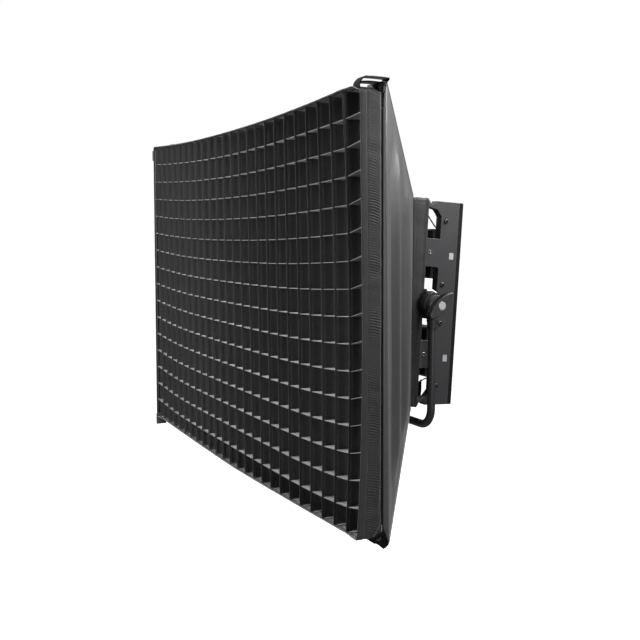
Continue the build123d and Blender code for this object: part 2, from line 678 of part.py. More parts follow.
def stand_receiver():
    """Socket for a 16 mm stand pin, with the lower half of the clamp that holds the crossbar."""
    body = post(RECEIVER_R, 0, CROSSBAR_Z - 14)
    body = chamfer(body.edges().sort_by(Axis.Z)[0], 2)
    clamp = block((-32, 32), (-22, 22), (CROSSBAR_Z - 18, CROSSBAR_Z - 0.5))
    clamp = fillet(clamp.edges().filter_by(Axis.Z), 5)
    body = body + clamp - pin_x(TUBE_R + 0.05, -40, 40, (0, CROSSBAR_Z))
    body -= post(BORE_R, -1, BORE_DEPTH)
    body -= pin_y(5.1, 0, 40, (0, LOCK_Z))
    for at in saddle_bolts_at():
        body -= post(3.1, CROSSBAR_Z - 16, CROSSBAR_Z + 1, at)
    return body


def saddle_cap():
    cap = block((-32, 32), (-22, 22), (CROSSBAR_Z + 0.5, CROSSBAR_Z + 15))
    cap = fillet(cap.edges().filter_by(Axis.Z), 5)
    cap = chamfer(cap.faces().sort_by(Axis.Z)[-1].edges(), 2) - pin_x(TUBE_R + 0.05, -40, 40, (0, CROSSBAR_Z))
    for at in saddle_bolts_at():
        cap -= post(3.1, CROSSBAR_Z - 1, CROSSBAR_Z + 16, at)
    return cap


def saddle_bolts():
    """Socket-head bolts down through the cap."""
    head = CROSSBAR_Z + 15
    bolts = []
    for at in saddle_bolts_at():
        bolt = post(5, head, head + 6, at) + post(3, CROSSBAR_Z - 15, head, at)
        bolts.append(bolt - post(2.4, head + 2.5, head + 7, at))
    return bolts


def lock_screw():
    """T-handled screw in the side of the receiver, backed out clear of the bore."""
    screw = pin_y(5, BORE_R + 1.4, RECEIVER_R + 12, (0, LOCK_Z))
    screw += pin_y(8, RECEIVER_R + 6, RECEIVER_R + 20, (0, LOCK_Z))
    bar = pin_x(4, -27, 27, (RECEIVER_R + 13, LOCK_Z))
    return screw + fillet(bar.edges(), 3)


# ---- tilt knobs --------------------------------------------------------------------------------------
KNOB_LONG, KNOB_WIDE, KNOB_TURN = 76.0, 26.0, 45.0
HUB_T, LEVER_T = 12.0, 15.0
CAP_R, CAP_SINK = 8.5, 3.0  # the cap's recess


def tilt_knob():
    """The right-hand knob: ribbed hub under a lens-shaped lever, recessed for its cap."""
    hub = pin_x(19, KNOB_FACE, KNOB_FACE + HUB_T)
    for i in range(3):
        x = KNOB_FACE + 2 + 3.5 * i
        hub -= pin_x(20, x, x + 1.4) - pin_x(17.4, x - 1, x + 3)
    tip = KNOB_LONG / 2
    flank = ThreePointArc((-tip, 0), (0, KNOB_WIDE / 2), (tip, 0))
    lens = make_face([flank, ThreePointArc((tip, 0), (0, -KNOB_WIDE / 2), (-tip, 0))])
    lever = Plane.YZ * extrude(lens, amount=LEVER_T)
    lever = fillet(lever.edges().filter_by(Axis.X), 5)
    lever = chamfer(lever.faces().sort_by(Axis.X)[-1].edges(), 1.5)
    lever = Pos(KNOB_FACE + HUB_T, 0, 0) * Rot(KNOB_TURN, 0, 0) * lever
    face = KNOB_FACE + HUB_T + LEVER_T
    knob = hub + lever - pin_x(CAP_R, face - CAP_SINK, face + 1)
    return knob - pin_x(STUD_R + 0.05, KNOB_FACE - 1, face - 6)


def knob_cap():
    face = KNOB_FACE + HUB_T + LEVER_T
    cap = pin_x(CAP_R - 0.2, face - CAP_SINK, face - 0.4)
    return fillet(cap.edges().sort_by(Axis.X)[-1], 1)


def knob_stud():
    """The threaded stud from a knob, through the lug and boss, into the cheek."""
    return pin_x(STUD_R, HEAD_W / 2 - PLATE_T + 1, KNOB_FACE + HUB_T + LEVER_T - 6.5)


# ---- write every node ----------------------------------------------------------------------------------
HEAD_NODES = {
    "led_housing": led_housing, "led_board": led_board, "led_chips": led_chips, "lens_panel": lens_panel,
    "front_bezel": front_bezel, "heat_sink": heat_sink, "supply_case": supply_case,
    "driver_case": driver_case, "supply_board": supply_board, "driver_board": driver_board,
    "supply_cover": supply_cover, "driver_cover": driver_cover, "cover_screws": cover_screws,
    "control_panel": control_panel,
    "display_window": display_window, "power_inlet": power_inlet, "data_sockets": data_sockets,
    "power_rocker": power_rocker, "side_plate_screws": side_plate_screws, "eyelet_rings": eyelet_rings,
    "label_plates": label_plates, "rear_bumpers": rear_bumpers, "pivot_bosses": pivot_bosses,
    "friction_discs": friction_discs, "bag_cords": bag_cords,
}
LEVEL_NODES = {"bag_shell": bag_shell, "bag_collar": bag_collar, "spreader_rods": spreader_rods}
HUNG_NODES = {
    "front_rods": front_rods, "snap_hinges": snap_hinges, "corner_joints": corner_joints,
    "front_diffuser": front_diffuser, "grid_band": grid_band, "grid_slats_horizontal": grid_slats_horizontal,
    "grid_slats_vertical": grid_slats_vertical, "grid_rods": grid_rods, "corner_loops": corner_loops,
    "corner_gussets": corner_gussets,
}
PAIRED_HEAD_NODES = {
    "side_plate": side_plate, "tilt_knob": tilt_knob, "knob_cap": knob_cap, "knob_stud": knob_stud,
}
RECEIVER_NODES = {
    "stand_receiver": stand_receiver, "saddle_cap": saddle_cap, "saddle_bolts": saddle_bolts,
    "lock_screw": lock_screw,
}


def all_nodes():
    """Node name to its list of solids, in place."""
    nodes = {name: on_head(make()) for name, make in HEAD_NODES.items()}
    nodes.update({name: level(make()) for name, make in LEVEL_NODES.items()})
    nodes.update({name: hung(make()) for name, make in HUNG_NODES.items()})
    for name, make in PAIRED_HEAD_NODES.items():
        right = make()
        nodes[name + "_right"] = on_head(right)
        nodes[name + "_left"] = on_head(mirrored(right))
    for name, at in DIALS_AT.items():
        nodes[name] = on_head(dial(at))
    for i, at in enumerate(BUTTONS_AT, start=1):
        nodes[f"menu_button_{i}"] = on_head(menu_button(at))
    nodes["yoke_tube"] = level(yoke_tube())
    nodes["yoke_lug_right"] = level(yoke_lug())
    nodes["yoke_lug_left"] = level(mirrored(yoke_lug()))
    nodes.update({name: as_list(make()) for name, make in RECEIVER_NODES.items()})
    return nodes


os.makedirs("parts", exist_ok=True)
for node, shapes in all_nodes().items():
    export_step(Compound(children=[s for shape in shapes for s in shape.solids()]), f"parts/{node}.step")
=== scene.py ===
"""Looks for the grid softbox: its cloth, webbing and cords, and the finish of every CAD part.

Everything is in metres in the row's frame: +Z up, the light leaves towards -Y, the tilt axis runs along X.
Cloth pieces are sheets of points bent by small functions; each rides on the head.
"""

import json
import math
import random

import bpy
import numpy as np
from mathutils import Matrix, Vector


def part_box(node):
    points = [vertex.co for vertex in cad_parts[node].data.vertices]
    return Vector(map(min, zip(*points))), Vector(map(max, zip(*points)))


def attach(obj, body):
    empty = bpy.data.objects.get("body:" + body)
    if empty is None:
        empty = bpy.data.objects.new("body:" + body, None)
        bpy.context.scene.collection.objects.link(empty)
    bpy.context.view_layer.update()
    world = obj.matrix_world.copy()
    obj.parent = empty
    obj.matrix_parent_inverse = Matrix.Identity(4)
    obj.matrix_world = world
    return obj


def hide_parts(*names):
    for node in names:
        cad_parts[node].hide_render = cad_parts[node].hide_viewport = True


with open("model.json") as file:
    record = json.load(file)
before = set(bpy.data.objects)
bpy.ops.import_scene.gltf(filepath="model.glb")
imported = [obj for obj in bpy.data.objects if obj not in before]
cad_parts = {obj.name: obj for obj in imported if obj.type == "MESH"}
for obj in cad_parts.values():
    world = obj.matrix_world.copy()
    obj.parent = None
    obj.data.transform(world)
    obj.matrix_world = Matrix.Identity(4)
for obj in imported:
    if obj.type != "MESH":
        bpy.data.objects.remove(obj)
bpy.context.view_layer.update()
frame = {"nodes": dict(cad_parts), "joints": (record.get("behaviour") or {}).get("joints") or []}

MM = 0.001
COLUMNS, ROWS = 25, 16

band_low, band_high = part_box("grid_band")
shell_low, shell_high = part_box("bag_shell")
TILT_Z = frame["joints"][0]["pos_m"][2]
GRID_W, GRID_H = band_high.x, (band_high.z - band_low.z) / 2  # half the grid's width and height
GRID_Z = TILT_Z  # the front's corners; its middle hangs lower
GRID_FRONT, GRID_BACK = band_low.y, band_high.y
GRID_DEPTH = GRID_BACK - GRID_FRONT
CELL = 2 * GRID_W / COLUMNS
BAG_HALF = (shell_high.x, (shell_high.z - shell_low.z) / 2)
BAG_Z = (shell_low.z + shell_high.z) / 2
BAG_FRONT, BAG_BACK = shell_low.y, shell_high.y
LEAN = math.radians(3.2)
HEAD_HALF = (0.365, 0.200)
SLEEVE_REAR = -0.007
SLEEVE_GAP = 2.0 * MM  # outside of the sleeve's cloth from the lamp


# ---- small maths ----
def smooth(value, low=0.0, high=1.0):
    """0 below low, 1 above high, smooth between."""
    t = np.clip((value - low) / (high - low), 0.0, 1.0)
    return t * t * (3 - 2 * t)


def wander(seed, count, length, rough=3):
    """A smooth seeded wave over the positions in length, about -1 to 1, from a few sines."""
    pick = random.Random(seed)
    total = np.zeros_like(length)
    for i in range(1, count + 1):
        total += pick.uniform(0.4, 1.0) * np.sin(length * i * rough + pick.uniform(0, 2 * math.pi))
    return total / (0.7 * count)


def stacked(*coordinates):
    """One array of points from arrays or numbers of their coordinates."""
    return np.stack(np.broadcast_arrays(*coordinates), -1)


def on_head(x, y, z):
    """From head coordinates, about the middle of the tilt axis, to the row's frame."""
    c, s = math.cos(LEAN), math.sin(LEAN)
    return stacked(x, y * c + z * s, -y * s + z * c + TILT_Z)


# ---- meshes ----
def add_object(name, data):
    made = bpy.data.objects.new(name, data)
    bpy.context.scene.collection.objects.link(made)
    return made


def make_piece(name, points, faces, material, uvs=None, slot=None, replaced=None):
    """A piece that rides on the head, from points and faces; it stands for the CAD part replaced."""
    mesh = bpy.data.meshes.new(name)
    mesh.from_pydata([tuple(p) for p in points], [], [tuple(f) for f in faces])
    if uvs is not None:
        layer = mesh.uv_layers.new(name="cloth")
        loops = np.zeros(len(mesh.loops), int)
        mesh.loops.foreach_get("vertex_index", loops)
        layer.data.foreach_set("uv", np.asarray(uvs, np.float32)[loops].ravel())
    mesh.materials.append(material)
    mesh.validate()
    mesh.shade_smooth()
    piece = add_object(name, mesh)
    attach(piece, "head")
    if replaced:
        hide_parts(replaced)
    return piece


def thicken(piece, thickness, offset=0.0):
    solid = piece.modifiers.new("thickness", "SOLIDIFY")
    solid.thickness = thickness
    solid.offset = offset
    return solid


def grid_faces(rows, columns, wrap_rows=False, wrap_columns=False):
    """Quads over a rows by columns array of points."""
    faces = []
    for i in range(rows if wrap_rows else rows - 1):
        for k in range(columns if wrap_columns else columns - 1):
            a, b = i * columns + k, i * columns + (k + 1) % columns
            c, d = ((i + 1) % rows) * columns + (k + 1) % columns, ((i + 1) % rows) * columns + k
            faces.append((a, b, c, d))
    return faces


def closed_faces(rows, columns, flip=False):
    """Quads along a row of rings, with a face over each end."""
    faces = grid_faces(rows, columns, wrap_columns=True)
    first, last = tuple(range(columns)), tuple(range((rows - 1) * columns, rows * columns))
    return faces + ([first, last[::-1]] if flip else [first[::-1], last])


def run_length(points, axis):
    """Distance run along an axis of an array of points, for a cloth's own coordinates."""
    steps = np.linalg.norm(np.diff(points, axis=axis), axis=-1)
    first = np.zeros_like(np.take(steps, [0], axis))
    return np.concatenate([first, np.cumsum(steps, axis)], axis)


def cloth_uvs(points):
    """A cloth's own coordinates in metres, along its rows and across them."""
    return stacked(run_length(points, 0), run_length(points, 1)).reshape(-1, 2)


def sheet(name, points, material, thick, slot, replaced, wrap=True):
    """A cloth sheet from an array of points (rows, columns, 3), closed along its rows if wrap."""
    faces = grid_faces(*points.shape[:2], wrap_rows=wrap)
    piece = make_piece(name, points.reshape(-1, 3), faces, material, cloth_uvs(points), slot, replaced)
    if thick:
        thicken(piece, thick)
    return piece


def heading(line, i):
    """Which way a line of points runs at its point i."""
    return (line[min(i + 1, len(line) - 1)] - line[max(i - 1, 0)]).normalized()


def tube(points, radius, sides=8):
    """Points and faces of a round cord along points, closed at its ends."""
    points = [Vector(p) for p in points]
    rings = []
    side = None
    for i, p in enumerate(points):
        ahead = heading(points, i)
        if side is None:
            side = ahead.orthogonal().normalized()
        side = (side - ahead * side.dot(ahead)).normalized()
        up = ahead.cross(side)
        for k in range(sides):
            turn = 2 * math.pi * k / sides
            rings.append(p + radius * (math.cos(turn) * side + math.sin(turn) * up))
    return rings, closed_faces(len(points), sides)


def merge(parts):
    """One list of points and faces from several."""
    points, faces = [], []
    for some_points, some_faces in parts:
        faces += [tuple(i + len(points) for i in f) for f in some_faces]
        points += [tuple(p) for p in some_points]
    return points, faces


def curve_through(points, steps=24):
    """A smooth line through a few points (Catmull-Rom)."""
    p = [Vector(v) for v in points]
    p = [2 * p[0] - p[1]] + p + [2 * p[-1] - p[-2]]
    line = []
    for a, b, c, d in zip(p, p[1:], p[2:], p[3:]):
        for i in range(steps):
            t = i / steps
            line.append(0.5 * (2 * b + (c - a) * t + (2 * a - 5 * b + 4 * c - d) * t ** 2
                               + (3 * b - a - 3 * c + d) * t ** 3))
    return line + [p[-2]]


# ---- materials ----
class Material:
    """A node material, built up a feature at a time."""

    def __init__(self, name, colour, roughness, metallic=0.0):
        self.made = bpy.data.materials.new(name)
        self.made.use_nodes = True
        self.tree = self.made.node_tree
        self.shader = self.tree.nodes["Principled BSDF"]
        self.set("Metallic", metallic)
        self.colour = self.add("RGB").outputs[0]
        self.colour.default_value = (*colour, 1.0)
        self.height = None
        self.rounded = None
        self.rough = roughness

    def add(self, kind, inputs=None, **settings):
        node = self.tree.nodes.new("ShaderNode" + kind)
        for key, value in settings.items():
            setattr(node, key, value)
        for key, value in (inputs or {}).items():
            if isinstance(value, bpy.types.NodeSocket):
                self.tree.links.new(value, node.inputs[key])
            else:
                node.inputs[key].default_value = value
        return node

    def set(self, key, value):
        if isinstance(value, bpy.types.NodeSocket):
            self.tree.links.new(value, self.shader.inputs[key])
        else:
            self.shader.inputs[key].default_value = value

    def math(self, operation, a, b=0.0):
        return self.add("Math", {0: a, 1: b}, operation=operation).outputs[0]

    def where(self, cloth=False):
        return self.add("TexCoord").outputs["UV" if cloth else "Object"]

    def noise(self, size, detail=3.0, cloth=False, stretch=None):
        """Noise from 0 to 1 whose blotches are about size metres across."""
        place = self.where(cloth)
        if stretch:
            place = self.add("Mapping", {"Vector": place, "Scale": stretch}).outputs[0]
        return self.add("TexNoise", {"Vector": place, "Scale": 1 / size, "Detail": detail}).outputs["Fac"]

    def spread(self, value, low, high, start=0.0, end=1.0):
        """value, from start to end, to low to high."""
        inputs = {"Value": value, "From Min": start, "From Max": end, "To Min": low, "To Max": high}
        return self.add("MapRange", inputs).outputs[0]

    def scale_colour(self, factor):
        mix = self.add("VectorMath", {0: self.colour, "Scale": factor}, operation="SCALE")
        self.colour = mix.outputs[0]

    def mix_colour(self, factor, other):
        mix = self.add("Mix", {"Factor": factor}, data_type="RGBA")
        self.tree.links.new(self.colour, mix.inputs[6])
        mix.inputs[7].default_value = (*other, 1.0)
        self.colour = mix.outputs[2]

    def vary(self, size, amount, **where):
        """Colour a little lighter and darker in blotches."""
        self.scale_colour(self.spread(self.noise(size, **where), 1 - amount, 1 + amount))

    def vary_roughness(self, size, amount):
        self.rough = self.math("ADD", self.spread(self.noise(size), -amount, amount), self.rough)

    def raise_by(self, value, depth):
        """Adds value times depth, in metres, to the surface's height."""
        part = self.math("MULTIPLY", value, depth)
        self.height = part if self.height is None else self.math("ADD", self.height, part)

    def wave(self, place, pitch, distortion=0.0, **settings):
        """Bands pitch metres apart."""
        inputs = {"Vector": place, "Scale": math.pi / (10 * pitch), "Distortion": distortion}
        return self.add("TexWave", inputs, **settings).outputs["Fac"]

    def weave(self, pitch, depth, rib=0.0):
        """Crossed threads, with heavier ripstop threads every rib metres if given."""
        place = self.where(cloth=True)
        crossed = self.math("MULTIPLY", *[self.wave(place, pitch, bands_direction=d) for d in "XY"])
        self.raise_by(crossed, depth)
        self.scale_colour(self.spread(crossed, 0.86, 1.12))
        if rib:
            for direction in "XY":
                wave = self.wave(place, rib, bands_direction=direction)
                self.raise_by(self.math("POWER", wave, 14.0), depth)

    def stitches(self, across, pitch=4.0 * MM, half=0.5 * MM):
        """Lines of thread along the cloth, each at a distance across it."""
        if not across:
            return
        place = self.add("SeparateXYZ", {"Vector": self.where(cloth=True)})
        along, side = place.outputs["X"], place.outputs["Y"]
        wave = self.math("SINE", self.math("MULTIPLY", along, 2 * math.pi / pitch))
        dash = self.math("GREATER_THAN", wave, -0.35)
        for at in across:
            away = self.math("ABSOLUTE", self.math("SUBTRACT", side, at))
            mark = self.math("MULTIPLY", self.spread(away, 1.0, 0.0, 0.0, half), dash)
            self.raise_by(mark, 0.35 * MM)
            self.scale_colour(self.spread(mark, 1.0, 1.7))

    def edges(self, radius, colour, amount):
        """Rounded edges on hard parts, paled along them: edge wear on most parts, a painted highlight on the
        knob's rim.
        """
        bevel = self.add("Bevel", {"Radius": radius}, samples=4).outputs[0]
        flat = self.add("NewGeometry").outputs["Normal"]
        alike = self.add("VectorMath", {0: bevel, 1: flat}, operation="DOT_PRODUCT").outputs["Value"]
        pale_edge = self.spread(alike, 0.0, 1.0, start=1.0, end=0.82)
        patchy = self.spread(self.noise(0.018, detail=5.0), 0.1, 1.4)
        self.mix_colour(self.math("MULTIPLY", self.math("MULTIPLY", pale_edge, patchy), amount), colour)
        self.rounded = bevel

    def done(self, sheen=0.0, coat=0.0, specular=0.5):
        self.set("Base Color", self.colour)
        self.set("Roughness", self.rough)
        self.set("Sheen Weight", sheen)
        self.set("Sheen Roughness", 0.45)
        self.set("Coat Weight", coat)
        self.set("Specular IOR Level", specular)
        if self.height is not None:
            inputs = {"Height": self.height, "Distance": 1.0, "Strength": 1.0}
            if self.rounded is not None:
                inputs["Normal"] = self.rounded
            self.set("Normal", self.add("Bump", inputs).outputs[0])
        elif self.rounded is not None:
            self.set("Normal", self.rounded)
        return self.made


def grey(level, blue=0.0):
    """A grey colour, with a little blue added."""
    return level, level, level + blue


def woven(name, colour, roughness, sheen, specular, pitch=0.7 * MM, depth=0.05 * MM, rib=0.0, crease=0.0,
          stitches=()):
    """Woven cloth: pitch and depth of its threads, spacing of its ripstop ribs, and depth of its creases."""
    m = Material(name, colour, roughness)
    m.vary(0.16, 0.14, detail=4.0)
    m.vary(0.004, 0.10, detail=2.0)
    m.weave(pitch, depth, rib)
    if crease:
        m.raise_by(m.noise(0.035, detail=4.0), crease)
    m.stitches(stitches)
    m.vary_roughness(0.05, 0.06)
    return m.done(sheen=sheen, specular=specular)


def webbing(name, colour, rib=1.4 * MM, shine=0.2):
    m = Material(name, colour, 0.75)
    ribs = m.wave(m.where(cloth=True), rib, 0.6, bands_direction="DIAGONAL")
    m.scale_colour(m.spread(ribs, 0.7, 1.25))
    m.raise_by(ribs, 0.35 * MM)
    m.vary(0.01, 0.15)
    return m.done(sheen=shine * 0.3, specular=shine)


def painted(name, colour, roughness, wear, pale_edge=grey(0.32, 0.01)):
    """Powder coat, paled along its edges by wear."""
    m = Material(name, colour, roughness)
    m.vary(0.12, 0.08, detail=5.0)
    m.vary(0.006, 0.05)
    m.vary_roughness(0.03, 0.07)
    m.raise_by(m.noise(1.1 * MM, detail=2.0), 0.05 * MM)
    m.edges(1.0 * MM, pale_edge, wear)
    return m.done(specular=0.45)


def metal(name, colour, roughness, brush=None):
    m = Material(name, colour, roughness, metallic=1.0)
    m.vary(0.02, 0.10, detail=4.0)
    m.vary_roughness(0.008, 0.10)
    if brush:
        m.raise_by(m.noise(2.0 * MM, detail=3.0, stretch=brush), 0.02 * MM)
    m.edges(0.5 * MM, [min(1.0, c * 1.5) for c in colour], 0.5)
    return m.done()


def moulded(name, colour, roughness, texture=0.06 * MM, coat=0.0, light=2.4, shine=0.5):
    """Moulded plastic or rubber, whose edges are light times as pale."""
    m = Material(name, colour, roughness)
    m.vary(0.03, 0.08)
    m.raise_by(m.noise(0.7 * MM, detail=2.0), texture)
    m.vary_roughness(0.02, 0.06)
    m.edges(0.8 * MM, [min(1.0, c * light + 0.01) for c in colour], 0.45)
    return m.done(coat=coat, specular=shine)


def knob_plastic():
    """Moulded plastic with a satin face across the knob's axis; its side walls are coloured near black as
    painted shade, and its rim edges paled as a painted highlight.
    """
    m = Material("knob_plastic", grey(0.034, 0.001), 0.38)
    # painted shade: faces turned away from the knob's axis, its side walls, are mixed towards near black
    facing = m.add("SeparateXYZ", {"Vector": m.add("NewGeometry").outputs["Normal"]}).outputs["X"]
    side = m.spread(m.math("ABSOLUTE", facing), 1.0, 0.0, start=0.6, end=0.9)
    m.mix_colour(side, grey(0.006))
    m.vary(0.03, 0.08)
    m.raise_by(m.noise(0.7 * MM, detail=2.0), 0.06 * MM)
    m.vary_roughness(0.02, 0.06)
    # painted highlight: the pale colour along the rim edges stands in for light caught on the chamfer
    m.edges(1.6 * MM, grey(0.26, 0.01), 0.8)
    return m.done(specular=0.4)


def board(name, colour, track):
    """A circuit board: fine copper tracks under the solder mask."""
    m = Material(name, colour, 0.35)
    cells = m.add("TexBrick", {"Vector": m.where(), "Scale": 60.0, "Mortar Size": 0.02}).outputs["Fac"]
    m.mix_colour(m.math("MULTIPLY", cells, 0.6), track)
    m.vary(0.01, 0.10)
    return m.done(coat=0.3)


def opal():
    m = Material("opal_lens", (0.86, 0.86, 0.84), 0.35)
    m.vary(0.2, 0.02)
    m.raise_by(m.noise(1.5 * MM), 0.04 * MM)
    return m.done(coat=0.2)


def display():
    """A dark screen with a faint generic read-out of bars."""
    m = Material("display_glass", (0.006, 0.008, 0.010), 0.08)
    bars = m.add("TexBrick", {"Vector": m.where(), "Scale": 22.0, "Mortar Size": 0.03}).outputs["Fac"]
    m.mix_colour(m.math("MULTIPLY", bars, 0.25), (0.02, 0.05, 0.06))
    m.vary(0.02, 0.1)
    return m.done(coat=0.8)


CLOTH = {
    "bag": woven("bag_cloth", grey(0.038, 0.001), 0.33, 0.2, 0.75, 0.9 * MM, 0.03 * MM, rib=5.5 * MM,
                 crease=0.4 * MM),
    "lining": woven("silver_lining", grey(0.62, 0.01), 0.34, 0.0, 0.7, 0.9 * MM, rib=6 * MM, crease=0.5 * MM),
    "sleeve": woven("sleeve_cloth", grey(0.018, 0.001), 0.55, 0.15, 0.30, 0.8 * MM, crease=2.0 * MM,
                 stitches=(6 * MM,)),
    "band": woven("band_cloth", grey(0.027), 0.6, 0.3, 0.35, depth=0.06 * MM, stitches=(13 * MM, 39 * MM)),
    "slat": woven("slat_cloth", grey(0.025, 0.001), 0.5, 0.5, 0.4, stitches=(7 * MM,)),
    # painted shade: the upright slats' rounded fronts are coloured darker than their own cloth, to dim the
    # light they catch
    "hem": woven("hem_painted_shade", grey(0.010), 0.7, 0.08, 0.12, 0.6 * MM),
    # painted light: the level slats are coloured lighter than the upright slats of the same cloth, for the
    # light their tops catch from above
    "level": woven("level_slat_painted_light", grey(0.043), 0.45, 0.3, 0.5),
    # painted light: the level slats' front strip is coloured lighter than the cloth behind it, for the light
    # on the front of their tops
    "level_front_lit": woven("level_front_painted_light", grey(0.066), 0.45, 0.3, 0.5, 0.6 * MM, stitches=(7 * MM,)),
    "white": woven("diffusion_cloth", grey(0.62, -0.01), 0.8, 0.1, 0.2, 0.6 * MM, 0.04 * MM),
    "tape": woven("loop_tape", grey(0.010), 0.95, 0.1, 0.1, 0.8 * MM, 0.3 * MM),
    # painted light: the rod pocket and seam piping are coloured lighter than the bag's own cloth, for the
    # highlight along the rim
    "rim": woven("rim_painted_light", grey(0.060, 0.001), 0.42, 0.3, 0.55, 0.9 * MM, 0.035 * MM, crease=0.4 * MM),
    "webbing": webbing("black_webbing", grey(0.006), shine=0.06),
    "rail": webbing("pale_rail_webbing", grey(0.30)),
    "loop": webbing("grey_webbing", grey(0.05)),
    "cord": webbing("elastic_cord", grey(0.012), 0.8 * MM),
}

HARD = {
    "cheek": painted("cheek_paint", grey(0.031, 0.002), 0.44, 0.35),
    "case": painted("case_paint", grey(0.022, 0.001), 0.5, 0.3),
    "yoke": painted("yoke_paint", grey(0.024, 0.001), 0.42, 0.25),
    "hub": painted("hub_paint", grey(0.012), 0.5, 0.2, pale_edge=grey(0.12)),
    "anodised": metal("black_anodised", grey(0.09, 0.005), 0.5, brush=(1, 1, 12)),
    "boss": metal("boss_metal", grey(0.42, 0.01), 0.42, brush=(12, 1, 1)),
    "screw": metal("screw_steel", grey(0.36, 0.01), 0.32),
    "black_screw": metal("black_screw_steel", grey(0.075, 0.005), 0.35),
    "bright": metal("bright_steel", grey(0.62, 0.01), 0.25),
    "label": moulded("label_plate", grey(0.34, 0.01), 0.45),
    "rubber": moulded("black_rubber", grey(0.005), 0.8, 0.1 * MM, light=1.0, shine=0.15),
    "knob": knob_plastic(),
    "cap": moulded("knob_cap", grey(0.38, 0.01), 0.32),
    "led_board": board("led_board", (0.72, 0.73, 0.71), (0.55, 0.56, 0.54)),
    "green_board": board("green_board", (0.02, 0.09, 0.04), (0.04, 0.14, 0.07)),
    "emitter": moulded("emitter", (0.85, 0.68, 0.22), 0.25, coat=0.5),
    "opal": opal(),
    "panel": moulded("panel_film", grey(0.030, 0.002), 0.55),
    "display": display(),
    "button": moulded("button_rubber", grey(0.16, 0.005), 0.6),
    "dial": moulded("dial_plastic", grey(0.025), 0.5, light=4.0),
    "rocker": moulded("rocker_plastic", grey(0.015), 0.2, coat=0.5),
    "socket": moulded("socket_plastic", grey(0.02, 0.001), 0.4),
    "rod": moulded("rod_glass_fibre", grey(0.02), 0.4),
    "joint": moulded("joint_plastic", grey(0.025), 0.45),
}

CAD_NODES = {  # which CAD parts have each hard finish
    "cheek": "side_plate_left side_plate_right led_housing",
    "case": "supply_cover driver_cover supply_case driver_case front_bezel stand_receiver saddle_cap",
    "yoke": "yoke_tube",
    "hub": "yoke_lug_left yoke_lug_right",
    "anodised": "heat_sink",
    "boss": "pivot_bosses",
    "screw": "cover_screws saddle_bolts",
    "black_screw": "side_plate_screws",
    "bright": "eyelet_rings knob_stud_left knob_stud_right lock_screw",
    "label": "label_plates",
    "rubber": "rear_bumpers friction_discs",
    "knob": "tilt_knob_left tilt_knob_right",
    "cap": "knob_cap_left knob_cap_right",
    "led_board": "led_board",
    "green_board": "driver_board supply_board",
    "emitter": "led_chips",
    "opal": "lens_panel",
    "panel": "control_panel",
    "display": "display_window",
    "button": "menu_button_1 menu_button_2 menu_button_3 menu_button_4",
    "dial": "dial_intensity dial_colour",
    "rocker": "power_rocker",
    "socket": "power_inlet data_sockets",
    "rod": "front_rods spreader_rods grid_rods",
    "joint": "corner_joints snap_hinges",
}


def finish_cad_parts():
    for kind, nodes in CAD_NODES.items():
        for node in nodes.split():
            materials = frame["nodes"][node].data.materials
            materials.clear()
            materials.append(HARD[kind])


# ---- egg-crate grid ----
CORNER_LIFT = 7.5 * MM  # how far the last slats rise to the right side of the band
HEM_DEPTH, HEM_HALF, CLOTH_HALF = 8 * MM, 1.1 * MM, 0.35 * MM
ACROSS_BACK = 3.0 * MM  # the level slats' fronts behind the upright slats' fronts


def edge_drop(across, above):
    """How far the band's own upper or lower run hangs down."""
    upper = 18 * MM * (1 - np.abs(across) ** 2.2)
    lower = 1.5 * MM + 11.5 * MM * (1 - np.abs(across) ** 1.4)
    return np.where(above, upper, lower)


def inner_drop(across, up):
    """How far the slats hang down inside the band."""
    most = (16.5 + 3.5 * np.maximum(up, 0) ** 2) * MM
    power = 2.9 - 1.75 * up + 0.6 * up ** 2
    return most * (1 - np.abs(across) ** power)


def drop(x, z):
    """How far the grid's cloth hangs below its flat place at x and z from its middle."""
    across, up = np.clip(x / GRID_W, -1, 1), np.clip(z / GRID_H, -1, 1)
    last_row = 1 - 1 / (ROWS / 2)
    to_edge = np.clip((np.abs(up) - last_row) / (1 - last_row), 0, 1)
    inside = inner_drop(across, np.clip(up, -last_row, last_row))
    rise = CORNER_LIFT * (1 - up ** 6) * np.clip(1 - (GRID_W - x) / CELL, 0, 1)
    return inside * (1 - to_edge) + edge_drop(across, z > 0) * to_edge - rise


def set_back(x, z):
    """How far the grid's cloth stands behind its flat place: the top leans out, the right side bows in."""
    up = np.clip(z / GRID_H, -1, 1)
    from_right, from_left = GRID_W - x, GRID_W + x
    bow = 10 * MM * (1 - up ** 2) * np.exp(-np.maximum(from_right - CELL, 0) / (140 * MM))
    inside = bow - (1.3 + 6.5 * up) * MM
    right_edge = (7.4 - 5 * up) * (1 - up ** 2) * MM
    near_right, near_left = np.clip(from_right / CELL, 0, 1), np.clip(from_left / CELL, 0, 1)
    return (right_edge * (1 - near_right) + inside * near_right) * near_left


def grid_place(x, depth, z):
    """A point of the grid's cloth: x and z from its middle, depth back from its front."""
    y = GRID_FRONT + depth + set_back(x, z) * (1 - 0.85 * depth / GRID_DEPTH)
    return stacked(x, y, GRID_Z + z - drop(x, z))


def slat_section(depth, half):
    """The outline of a slat across its thickness: a round hem in front, thin cloth behind."""
    front = [(half * (1 - math.sin(a)), half * math.cos(a)) for a in np.linspace(0, math.pi, 6)]
    side = [(HEM_DEPTH, half * 0.95), (HEM_DEPTH + 0.7 * MM, CLOTH_HALF), (HEM_DEPTH + 1.6 * MM, CLOTH_HALF),
            (depth * 0.55, CLOTH_HALF), (depth, CLOTH_HALF)]
    upper = side[::-1]
    lower = [(d, -h) for d, h in side]
    return upper + front + lower


